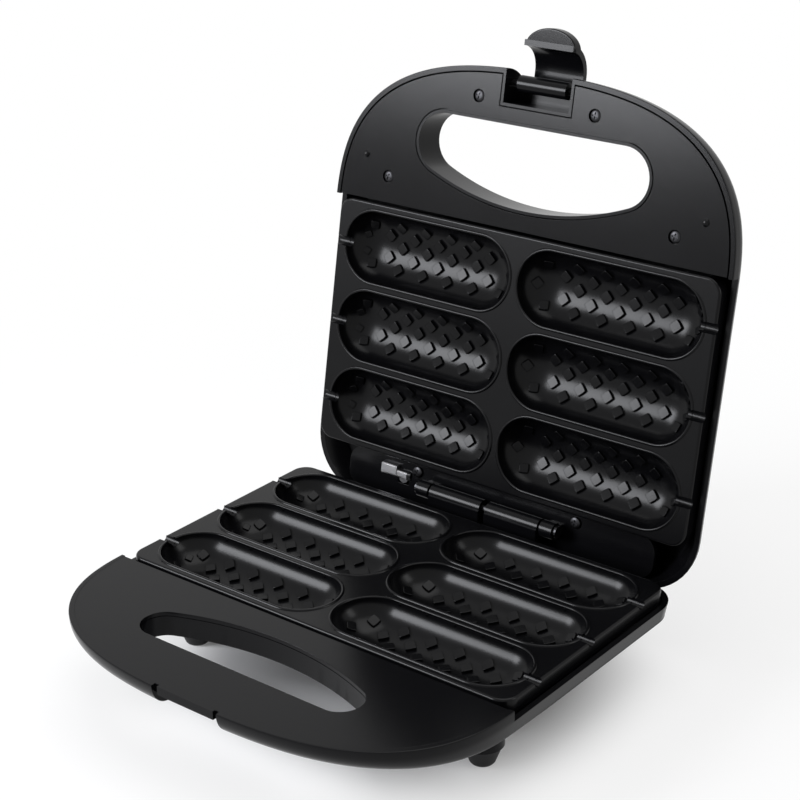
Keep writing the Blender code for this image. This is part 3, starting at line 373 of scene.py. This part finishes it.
def hole_outline(half, wall=0.0, end_steps=20, arc_steps=49):
    end_radius, arc_radius, front, rear = 14.8, 150.0, 192.8, 152.6
    grow = wall + half_shapes[half]["hole"]
    end_v, arc_v = front - end_radius, rear + arc_radius
    end_x = math.sqrt((arc_radius - end_radius) ** 2 - (arc_v - end_v) ** 2)
    tangent = math.atan2(end_v - arc_v, end_x)
    points = []
    for i in range(end_steps + 1):
        angle = tangent + (0.5 * math.pi - tangent) * i / end_steps
        points.append((end_x + (end_radius + grow) * math.cos(angle),
                       end_v + (end_radius + grow) * math.sin(angle)))
    points += [(-x, v) for x, v in reversed(points)]
    sweep = -math.pi - 2 * tangent
    for i in range(1, arc_steps):
        angle = -math.pi - tangent - sweep * i / arc_steps
        points.append(((arc_radius + grow) * math.cos(angle), arc_v + (arc_radius + grow) * math.sin(angle)))
    return points


# Moulds: a bead, then a bowl with raised diamonds in rows round it
def arc_table(count=400):
    """Arc length from the rim of a mould's section to each angle, and the whole arc."""
    angles = np.linspace(0.0, 0.5 * math.pi, count)
    across = mould_radius * np.cos(angles)
    down = mould_depth * np.sin(angles)
    length = np.concatenate([[0.0], np.cumsum(np.hypot(np.diff(across), np.diff(down)))])
    return angles, length


def bowl_frame(x, heading, arc):
    """Where a point of the bowl lies, and the ways across, down into the bowl and out of it there."""
    angles, length = arc_table()
    angle = float(np.interp(length[-1] - arc, length, angles))
    radial = Vector((math.cos(heading), math.sin(heading), 0.0))
    deep = Vector((0.0, 0.0, 1.0))
    middle = Vector((x, 0.0, face))
    point = middle + radial * mould_radius * math.cos(angle) + deep * mould_depth * math.sin(angle)
    out = -(radial * mould_depth * math.cos(angle) + deep * mould_radius * math.sin(angle)).normalized()
    across = deep.cross(radial)
    return point, across, out.cross(across), out


def raised_diamond(bm, shift, spot, half_across, half_down, height, root):
    """A flat-topped diamond with rounded corners and edges, standing on the bowl."""
    point, across, down, out = spot
    levels = ((-root, 0.0), (height - 0.32, 0.10), (height - 0.09, 0.22), (height, 0.50))
    rows = []
    for rise, inset in levels:
        row = []
        for corner in range(4):
            for step in range(-2, 3):
                turn = 0.5 * math.pi * corner + 0.35 * step
                reach = 1.0 / (abs(math.cos(turn)) ** 1.12 + abs(math.sin(turn)) ** 1.12) ** (1 / 1.12)
                a = (half_across - inset) * reach * math.cos(turn)
                b = (half_down - inset) * reach * math.sin(turn)
                row.append(bm.verts.new(shift + point + across * a + down * b + out * rise))
        rows.append(row)
    for low, high in zip(rows, rows[1:]):
        for i in range(len(low)):
            j = (i + 1) % len(low)
            bm.faces.new((low[i], low[j], high[j], high[i]))
    bm.faces.new(rows[-1])


def add_diamonds(bm, shift, side):
    """The mould's rows of diamonds, those on its rounded ends, and the small ticks under its rim."""
    pitch, row_step, rim_arc = 15.8, 5.9, 23.9
    for row in range(-2, 3):
        count = 4 if row % 2 == 0 else 5
        heading = 0.5 * math.pi if row >= 0 else 1.5 * math.pi
        for i in range(count):
            x = (i - (count - 1) / 2) * pitch
            raised_diamond(bm, shift, bowl_frame(x, heading, abs(row) * row_step), 3.6, 3.6, 1.5, 1.2)
    for flank in (0.5 * math.pi, 1.5 * math.pi):
        for i in range(5):
            spot = bowl_frame((i - 2) * pitch - 0.5 * pitch * (flank < math.pi), flank, rim_arc)
            raised_diamond(bm, shift, spot, 0.7, 1.3, 0.5, 0.9)
    reach = mould_half - mould_radius
    for end in (1, -1):
        middle = 0.0 if end > 0 else math.pi
        for turn in (-54, 0, 54):
            grooved = turn == 0 and end == side
            for bearing in ((21.0, -21.0) if grooved else (turn,)):
                size = 2.5 if grooved else 3.3
                spot = bowl_frame(end * reach, middle + end * math.radians(bearing), 13.0 if grooved else 13.5)
                raised_diamond(bm, shift, spot, size, size, 0.9 if grooved else 1.2, 1.2)


def mould_bm(x0, v0, side):
    reach = mould_half - mould_radius
    angles, length = arc_table()
    straight_steps, end_steps, rows = 24, 48, 30
    plan = []
    for i in range(straight_steps):
        plan.append((reach - 2 * reach * i / straight_steps, 0.0, 1.0))
    for i in range(end_steps):
        turn = 0.5 * math.pi + math.pi * i / end_steps
        plan.append((-reach, math.cos(turn), math.sin(turn)))
    for i in range(straight_steps):
        plan.append((-reach + 2 * reach * i / straight_steps, 0.0, -1.0))
    for i in range(end_steps):
        turn = -0.5 * math.pi + math.pi * i / end_steps
        plan.append((reach, math.cos(turn), math.sin(turn)))
    edge = ((1.75, face + 0.25), (1.6, face - 0.05), (1.45, bead_top + 0.22), (1.15, bead_top + 0.03),
            (0.8, bead_top), (0.45, bead_top + 0.04), (0.15, bead_top + 0.22), (0.02, face - 0.1))
    levels = [(mould_radius + out, depth) for out, depth in edge]
    for k in range(rows):
        angle = np.interp(length[-1] * k / (rows - 1), length, angles)
        levels.append((mould_radius * math.cos(angle), face + mould_depth * math.sin(angle)))
    bm = bmesh.new()
    grid = [[bm.verts.new((x0 + x + dx * r, v0 + dv * r, depth)) for x, dx, dv in plan]
            for r, depth in levels]
    for low, high in zip(grid, grid[1:]):
        for i in range(len(plan)):
            j = (i + 1) % len(plan)
            bm.faces.new((low[i], low[j], high[j], high[i]))
    bmesh.ops.remove_doubles(bm, verts=bm.verts, dist=0.001)
    trim = []
    for polygon in bm.faces:
        centre = polygon.calc_center_median()
        beyond = side * (centre.x - x0) > mould_half - 9.0
        if beyond and math.hypot(centre.y - v0, centre.z - groove_depth) < groove_radius:
            trim.append(polygon)
    bmesh.ops.delete(bm, geom=trim, context="FACES")
    add_diamonds(bm, Vector((x0, v0, 0.0)), side)
    return bm


def groove_bm(x, v, side):
    """The half-round trough that a stick lies in, from the mould's end to the plate's edge."""
    bm = bmesh.new()
    steps, radius = 20, groove_radius + 0.02
    start, end = x + side * (mould_half - 2.6), side * (plate_half - 0.05)
    rows = []
    for at in (start, start + (end - start) / 2, end):
        row = []
        for i in range(steps + 1):
            angle = math.pi * i / steps
            row.append(bm.verts.new((at, v + radius * math.cos(angle),
                                     groove_depth + radius * math.sin(angle))))
        rows.append(row)
    for low, high in zip(rows, rows[1:]):
        for i in range(steps):
            bm.faces.new((low[i], low[i + 1], high[i + 1], high[i]))
    return bm


def fine_plate(half):
    """The plate's face, rounded edge and skirt, pierced where the moulds and grooves are."""
    rings = []
    for i in range(7):
        turn = 0.5 * math.pi * i / 6
        inset = 1.2 * (1 - math.sin(turn))
        outline = rounded_box(plate_half - inset, plate_front - inset, plate_rear + inset, plate_corner - inset, 12)
        rings.append(ring(outline, face + 1.2 * (1 - math.cos(turn))))
    outer = rounded_box(plate_half, plate_front, plate_rear, plate_corner, 12)
    inner = rounded_box(plate_half - 3.2, plate_front - 3.2, plate_rear + 3.2, plate_corner - 3.2, 12)
    rings += [ring(outer, skirt_foot), ring(inner, skirt_foot), ring(inner, face + 3.2)]
    body = solid_from(loft_bm(rings))
    steps = []
    reach = mould_half - mould_radius
    places = [(side, side * mould_x, v) for side in (-1, 1) for v in mould_rows]
    for side, x, v in places:
        steps.append(("cut", prism(stadium(x, v, reach, mould_radius + 0.9, 40), -4.0, 12.0)))
    for side, x, v in places:
        start = (x + side * (mould_half - 1.0), v, groove_depth)
        steps.append(("cut", rod(start, (side * (plate_half + 4), v, groove_depth), groove_radius)))
    place(half, carve(body, *steps), half + "_plate_fine", "nonstick_coating", half, (half + "_plate",))
    for number, (side, x, v) in enumerate(places, start=1):
        name = "%s_mould_%d" % (half, number)
        place(half, mould_bm(x, v, side), name, "nonstick_coating", half, smooth_angle=50.0)
        place(half, groove_bm(x, v, side), name + "_groove", "nonstick_coating", half)


# Housings
def handle_levels(shape):
    """Depth, side inset and front inset of the fine rings of a handle, from its rim down."""
    levels = [(handle_rim, 0.5, 0.5), (handle_rim + 0.15, 0.15, 0.15), (handle_rim + 0.5, 0.0, 0.0)]
    tall = shape["depth"] - handle_rim
    for i in range(1, 15):
        part = math.sin(0.5 * math.pi * i / 14)
        along = max(0.0, 1 - part ** 2.1)
        front_inset = front_draw * (1 - along ** (1 / 2.1))
        side_inset = shape["draw"] * max(0.0, (part - 0.395) / 0.605)
        levels.append((handle_rim + tall * part, side_inset, front_inset))
    return levels


def shell_rings(half, grow=0.0):
    shape = half_shapes[half]
    rings = []
    for number, (depth, inset, front_inset) in enumerate(handle_levels(shape)):
        if grow:
            depth = depth - 6.0 if number == 0 else depth - grow
            inset, front_inset = (0.0, 0.0) if number < 3 else (inset, front_inset)
        rear = shape["rear"] + grow + shape["rear_draw"] * inset / total_inset
        outline = d_outline(half_width - grow - inset, shell_shoulder, shell_front - front_inset - grow, rear,
                            shape["corner"] - grow)
        rings.append(ring(outline, depth))
    start = shape["depth"] + handle_fall
    for deep, drawn in crown_curve:
        inset = shape["draw"] + (total_inset - shape["draw"]) * drawn
        front = body_front - body_front_draw * drawn
        rear = shape["rear"] + grow + shape["rear_draw"] * inset / total_inset
        outline = d_outline(half_width - grow - inset, front - body_shoulder, front - grow, rear,
                            shape["corner"] - grow)
        rings.append(ring(outline, start + (body_depth - start) * deep - grow))
    return rings


def stop_reach():
    rise = side_rim - axis_rise / mm
    return 16.0 * math.cos(open_angle) + rise * math.sin(open_angle) - 0.4


def fine_shell(half):
    lid_side = half == "lid"
    shell = solid_from(loft_bm(shell_rings(half)))
    hollow = solid_from(loft_bm(shell_rings(half, skin)))
    steps = [("cut", prism(hole_outline(half, 1.8), -8.0, 42.0))]
    if lid_side:
        steps.append(("cut", block((-20.6, notch_rear - 1.6, -8.0), (20.6, 224.0, 38.2))))
    else:
        steps.append(("cut", block((-20.6, 204.4, 4.8), (20.6, 224.0, 38.2))))
    hollow = solid_from(carve(hollow, *steps))
    reveal = skin + 0.5
    seat = front_curve(half_width - reveal, shell_shoulder, shell_front - reveal, 142.0)
    kept = []
    if lid_side:
        kept.append(("cut", prism(hole_outline(half, inner_rim), -8.0, 8.0)))
        kept.append(("cut", block((-notch_half - inner_rim, notch_rear - inner_rim, -8.0),
                                  (notch_half + inner_rim, 224.0, 8.0))))
    seat = solid_from(carve(prism(seat, -4.0, 4.5), *kept))
    cuts = [("cut", hollow), ("cut", prism(hole_outline(half), -4.0, 42.0)), ("cut", seat),
            ("cut", block((-130.0, -24.0, -4.0), (130.0, rim_end, side_rim)))]
    if lid_side:
        cuts.append(("cut", block((-notch_half, notch_rear, -4.0), (notch_half, 224.0, notch_back))))
        cuts.append(("cut", block((-notch_half, notch_rear + 7.0, -4.0), (notch_half, 224.0, 38.3))))
        cuts += [("cut", rod((x, 108.0, 30.0), (x, 108.0, 42.0), 4.3)) for x in (-13.0, 13.0)]
    else:
        cuts.append(("cut", block((-notch_half, 206.0, 6.4), (notch_half, 224.0, 38.3))))
        cuts += [("cut", block((low, 217.0, -4.0), (low + 2.6, 224.0, 10.0))) for low in (-19.0, 16.4)]
        cuts.append(("cut", block((-17.7, 218.6, -4.0), (17.7, 224.0, 38.0))))
        for low, high in ((-long_barrel[1], -long_barrel[0]), long_barrel):
            cuts.append(("join", block((low, 0.0, -1.0), (high, 5.2, 14.0))))
            cuts.append(("join", rod((low, 0.0, -1.0), (high, 0.0, -1.0), barrel_radius, 64)))
        for low, high in ((-78.0, -70.0), (70.0, 78.0)):
            cuts.append(("join", block((low, -stop_reach(), 11.0), (high, 5.2, 18.5))))
        for x, v in foot_places.values():
            cuts += [("join", rod((side * x, v, 22.0), (side * x, v, 39.0), 10.0, 48)) for side in (-1, 1)]
        cuts.append(("cut", rod((66.0, 0.0, 24.0), (66.0, 20.0, 24.0), 5.3)))
    bm = carve(shell, *cuts)
    place(half, bm, half + "_shell_fine", "housing_plastic", half, (half + "_shell",), bevel=0.35)


def fine_panel(half):
    """A handle's inner panel, with all its edges rounded over."""
    reveal = skin + (panel_reveal if half == "lid" else 0.1)
    plan = front_curve(half_width - reveal, shell_shoulder, shell_front - reveal, panel_rear)
    body = prism(plan, handle_rim, handle_rim + panel_thickness)
    border = inner_rim + panel_groove if half == "lid" else 0.0
    cuts = [("cut", prism(hole_outline(half, border), -4.0, 12.0))]
    if half == "lid":
        cuts.append(("cut", block((-notch_half - border, notch_rear - border, -4.0),
                                  (notch_half + border, 230.0, 12.0))))
        for x, v in panel_screws:
            cuts += [("cut", rod((side * x, v, -4.0), (side * x, v, handle_rim + 1.7), 3.3)) for side in (-1, 1)]
        dome = [(0.01, 1.2)] + [(1.9 * math.cos(0.5 * math.pi * i / 8), -1.3 * math.sin(0.5 * math.pi * i / 8))
                                for i in range(8)] + [(0.01, -1.3)]
        x, v = nub_place
        cuts += [("join", solid_from(turned_bm(dome, side * x, v, handle_rim, 24))) for side in (-1, 1)]
    place(half, carve(body, *cuts), half + "_panel_fine", "panel_plastic", half, (half + "_panel",),
          bevel=0.45 if half == "lid" else 0.15, bevel_steps=3)


def cross_screw(half, name, x, v, depth, outward, replaced):
    """A pan-head screw with a cross recess; outward is the way its head looks along the depth."""
    rings = []
    for radius, rise in ((0.01, 0.0), (1.6, 0.02), (2.3, 0.14), (2.8, 0.42), (3.0, 0.85), (3.0, 1.2)):
        circle = [(x + radius * math.cos(2 * math.pi * i / 40), v + radius * math.sin(2 * math.pi * i / 40))
                  for i in range(40)]
        rings.append(ring(circle, depth - outward * rise))
    head = solid_from(loft_bm(rings))
    turn = 0.6 + 0.9 * math.sin(x * 0.7 + v)
    cuts = []
    for quarter in (0, 1):
        bm = bmesh.new()
        spin = Matrix.Rotation(turn + quarter * 0.5 * math.pi, 4, "Z")
        bmesh.ops.create_cube(bm, size=1.0, matrix=Matrix.Translation((x, v, depth)) @ spin
                              @ Matrix.Diagonal((3.4, 0.75, 1.1, 1.0)))
        cuts.append(("cut", solid_from(bm)))
    place(half, carve(head, *cuts), name, "plated_steel", half, replaced)


def fine_screws():
    for number, (x, v) in enumerate([(side * x, v) for x, v in panel_screws for side in (-1, 1)], start=1):
        cross_screw("lid", "lid_cross_screw_%d" % number, x, v, handle_rim + 0.2, -1, ("lid_panel_screw_%d" % number,))
        cross_screw("base", "base_cross_screw_%d" % number, x, v, 16.3, 1, ("base_panel_screw_%d" % number,))
    for number, side in enumerate((-1, 1), start=1):
        cross_screw("lid", "band_cross_screw_%d" % number, side * 49.0, 5.4, 6.1, -1, ("lid_band_screw_%d" % number,))


def fine_band():
    """The strip across the rear of the lid, with the short hinge barrels on their webs."""
    plan = rounded_box(94.5, 9.4, -11.5, 8.0)
    cuts = []
    for low, high in ((-short_barrel[1], -short_barrel[0]), short_barrel):
        cuts.append(("join", block((low, -2.6, 1.0), (high, 2.6, 8.8))))
        cuts.append(("join", rod((low, 0.0, 1.0), (high, 0.0, 1.0), barrel_radius, 64)))
    cuts.append(("cut", rod((-46.0, 0.0, 1.0), (46.0, 0.0, 1.0), 2.3, 32)))
    cuts += [("cut", rod((x, 5.4, 0.0), (x, 5.4, 38.0), 1.8)) for x in (-49.0, 49.0)]
    cuts.append(("cut", block((-61.4, -3.4, 0.0), (-54.6, 3.4, 38.0))))
    bm = carve(prism(plan, 7.6, 10.0), *cuts)
    place("lid", bm, "lid_rear_band_fine", "housing_plastic", "lid", ("lid_rear_band",), bevel=0.3)


def fine_wire_clip():
    """The bent sheet that holds the wires' sleeve where it comes through the rear strip."""
    rows = []
    for x, low, high, top in ((-71.0, -0.4, 6.4, 4.4), (-61.2, -0.4, 6.4, 4.4), (-61.0, -0.4, 4.2, 4.8),
                              (-54.6, -0.8, 4.2, 4.8), (-53.4, -0.9, 3.8, 6.4)):
        outer = ((high, 7.4), (high - 0.5, top + 0.5), (high - 1.1, top), (low + 1.5, top), (low + 0.7, top + 0.6),
                 (low, 7.4))
        inner = [(v + (0.7 if v < 2 else -0.7) * (depth > top + 0.1), min(depth + 0.7, 7.4)) for v, depth in outer]
        rows.append([(x, v, depth) for v, depth in outer + tuple(inner[::-1])])
    place("lid", loft_bm(rows), "wire_clip", "plated_steel", "lid", bevel=0.15)
    bpy.data.objects["wire_clip"].data.materials[0] = bright_steel


def fine_latch():
    """The latch: barrel, heel, a blade bent like a C and a half-round lip."""
    inner, thickness, bend_v, centre = 10.5, 2.9, 6.5, -1.6
    outer_row = [(-2.5, inner + thickness)]
    inner_row = [(-2.5, inner)]
    for i in range(25):
        angle = 0.5 * math.pi * i / 24
        for row, radius in ((outer_row, 12.1 + thickness), (inner_row, 12.1)):
            row.append((bend_v + radius * math.sin(angle), centre + radius * math.cos(angle)))
    profile = outer_row + inner_row[::-1]
    blade = loft_bm([[(x, latch_v + a, latch_depth + b) for a, b in profile] for x in (-14.0, 14.0)])
    lip = []
    for inset, level, slope in ((1.2, -0.6, 0.45), (0.3, -0.2, 0.2), (0.0, 0.4, 0.0), (0.0, 4.6, 0.0)):
        row = []
        for i in range(41):
            turn = math.pi * i / 40
            rise = (9.6 - 1.6 * inset) * math.sin(turn)
            row.append(((14.6 - inset) * math.cos(turn), latch_v + 18.6 + 0.8 * inset + rise,
                        latch_depth + level + slope * (1 - rise / 9.6)))
        lip.append(row)
    cuts = [("join", block((-13.7, latch_v - 2.2, latch_depth), (13.7, latch_v + 2.2, latch_depth + 12.0))),
            ("join", rod((-14.0, latch_v, latch_depth), (14.0, latch_v, latch_depth), 4.2, 64)),
            ("join", solid_from(loft_bm(lip))),
            ("cut", rod((-18.0, latch_v, latch_depth), (18.0, latch_v, latch_depth), 1.8))]
    bm = carve(solid_from(blade), *cuts)
    place("lid", bm, "latch_fine", "housing_plastic", "latch", ("latch",), bevel=0.5, bevel_steps=3)


def turned_bm(profile, x, v, start, steps=48):
    """A turned piece whose profile is (radius, depth) pairs, on an axis along the depth."""
    rings = []
    for radius, depth in profile:
        rings.append([(x + radius * math.cos(2 * math.pi * i / steps), v + radius * math.sin(2 * math.pi * i / steps),
                       start + depth) for i in range(steps)])
    return loft_bm(rings)


def fine_feet():
    profile = ((0.01, 0.0), (8.6, 0.0), (9.0, 0.3), (8.7, 1.2), (6.4, 7.4), (6.0, 8.5), (5.4, 9.2), (4.0, 9.7),
               (0.01, 9.7))
    for end, (x, v) in foot_places.items():
        for side, word in ((-1, "left"), (1, "right")):
            name = "foot_%s_%s" % (end, word)
            place("base", turned_bm(profile, side * x, v, 39.3), name + "_fine", "rubber", "base", (name,))


def fine_lamps():
    profile = [(0.01, 2.2)]
    profile += [(4.0 * math.sin(0.5 * math.pi * i / 8), 1.0 + 1.2 * math.cos(0.5 * math.pi * i / 8))
                for i in range(1, 9)]
    profile += [(4.6, 1.0), (4.9, 0.85), (5.0, 0.5), (5.0, 0.0), (4.0, 0.0), (4.0, -7.0), (0.01, -7.0)]
    for name, x in (("power_lamp", -13.0), ("ready_lamp", 13.0)):
        slot = "red_lens" if x < 0 else "green_lens"
        place("lid", turned_bm(profile, x, 108.0, 38.3), name + "_fine", slot, "lid", (name,))


for half in ("base", "lid"):
    fine_plate(half)
    fine_shell(half)
    fine_panel(half)
fine_screws()
fine_band()
fine_wire_clip()
fine_latch()
fine_feet()
fine_lamps()

# Floor, light and camera
floor_mesh = bpy.data.meshes.new("floor")
floor_bm = bmesh.new()
bmesh.ops.create_grid(floor_bm, x_segments=1, y_segments=1, size=6.0)
floor_bm.to_mesh(floor_mesh)
floor_bm.free()
floor = bpy.data.objects.new("floor", floor_mesh)
bpy.context.scene.collection.objects.link(floor)
floor_look, floor_nodes, floor_links, floor_shader = new_material("floor_white")
floor_shader.inputs["Base Color"].default_value = (0.88, 0.88, 0.88, 1)
floor_shader.inputs["Roughness"].default_value = 0.7
floor_shader.inputs["Specular IOR Level"].default_value = 0.1


def background_rays(nodes, links):
    """1 for the rays that see the white background: from the camera, a glossy surface or a clear one."""
    paths = nodes.new("ShaderNodeLightPath")
    value = paths.outputs["Is Camera Ray"]
    for kind in ("Is Glossy Ray", "Is Transmission Ray"):
        either = add_node(nodes, "ShaderNodeMath", operation="MAXIMUM")
        links.new(value, either.inputs[0])
        links.new(paths.outputs[kind], either.inputs[1])
        value = either.outputs["Value"]
    return value


# White all round, near the object a third of it floor, which keeps its shadow, and under the base all floor
floor_coord = add_node(floor_nodes, "ShaderNodeTexCoord")
floor_length = add_node(floor_nodes, "ShaderNodeVectorMath", operation="LENGTH")
floor_links.new(floor_coord.outputs["Object"], floor_length.inputs[0])
floor_fade = add_node(floor_nodes, "ShaderNodeMapRange", interpolation_type="SMOOTHSTEP")
for name, value in (("From Min", 0.15), ("From Max", 0.55), ("To Min", 0.7), ("To Max", 1.0)):
    floor_fade.inputs[name].default_value = value
floor_links.new(floor_length.outputs["Value"], floor_fade.inputs["Value"])
floor_under = add_node(floor_nodes, "ShaderNodeMapRange", interpolation_type="SMOOTHSTEP")
for name, value in (("From Min", 0.075), ("From Max", 0.135), ("To Min", 0.0), ("To Max", 1.0)):
    floor_under.inputs[name].default_value = value
floor_links.new(floor_length.outputs["Value"], floor_under.inputs["Value"])
floor_open = add_node(floor_nodes, "ShaderNodeMath", operation="MULTIPLY")
floor_links.new(floor_fade.outputs["Result"], floor_open.inputs[0])
floor_links.new(floor_under.outputs["Result"], floor_open.inputs[1])
floor_share = add_node(floor_nodes, "ShaderNodeMath", operation="MULTIPLY")
floor_links.new(floor_open.outputs["Value"], floor_share.inputs[0])
floor_links.new(background_rays(floor_nodes, floor_links), floor_share.inputs[1])
floor_white = add_node(floor_nodes, "ShaderNodeEmission", Strength=1.0)
floor_white.inputs["Color"].default_value = (1, 1, 1, 1)
floor_mix = add_node(floor_nodes, "ShaderNodeMixShader")
floor_links.new(floor_share.outputs["Value"], floor_mix.inputs["Fac"])
floor_links.new(floor_shader.outputs["BSDF"], floor_mix.inputs[1])
floor_links.new(floor_white.outputs["Emission"], floor_mix.inputs[2])
floor_links.new(floor_mix.outputs["Shader"], floor_nodes["Material Output"].inputs["Surface"])
floor_mesh.materials.append(floor_look)


def area_light(name, place, target, width, height, watts, colour=(1, 1, 1)):
    light = bpy.data.lights.new(name, "AREA")
    light.shape = "RECTANGLE"
    light.size = width
    light.size_y = height
    light.energy = watts
    light.color = colour
    lamp = bpy.data.objects.new(name, light)
    bpy.context.scene.collection.objects.link(lamp)
    lamp.location = place
    lamp.rotation_euler = (Vector(target) - Vector(place)).to_track_quat("-Z", "Y").to_euler()


area_light("key", (-0.86, -1.10, 0.67), (0, 0.08, 0.18), 0.64, 0.68, 28, (0.94, 0.955, 1.0))
area_light("top", (0.1, 0.2, 1.7), (0, 0, 0), 1.4, 1.4, 14)
area_light("right", (1.5, 0.5, 0.8), (0, 0, 0.1), 0.5, 1.0, 6)

world = bpy.data.worlds.new("studio")
bpy.context.scene.world = world
world.use_nodes = True
world_nodes = world.node_tree.nodes
world_links = world.node_tree.links
backdrop = world_nodes["Background"]
backdrop.inputs["Color"].default_value = (1, 1, 1, 1)
backdrop.inputs["Strength"].default_value = 1.0
dim = world_nodes.new("ShaderNodeBackground")
dim.inputs["Color"].default_value = (1, 1, 1, 1)
dim.inputs["Strength"].default_value = 0.3
blend = world_nodes.new("ShaderNodeMixShader")
world_links.new(background_rays(world_nodes, world_links), blend.inputs["Fac"])
world_links.new(dim.outputs["Background"], blend.inputs[1])
world_links.new(backdrop.outputs["Background"], blend.inputs[2])
world_links.new(blend.outputs["Shader"], world_nodes["World Output"].inputs["Surface"])

camera_data = bpy.data.cameras.new("camera")
camera_data.lens = 85.82
camera_data.sensor_width = 36.0
camera_data.shift_x = 0.0089
camera_data.shift_y = -0.01116
camera = bpy.data.objects.new("camera", camera_data)
bpy.context.scene.collection.objects.link(camera)
back = Vector((0.57653, -0.71994, 0.3864)).normalized()
camera_roll = math.radians(-0.8)
camera.location = Vector((0.50538, -0.70529 + axis_y, 0.42843 + parting_height + axis_rise))
camera.rotation_mode = "QUATERNION"
camera.rotation_quaternion = (-back).to_track_quat("-Z", "Y") @ Quaternion((0, 0, 1), camera_roll)
camera_data.clip_start = 0.01
camera_data.clip_end = 20.0
bpy.context.scene.camera = camera
bpy.context.scene.view_settings.view_transform = "Standard"
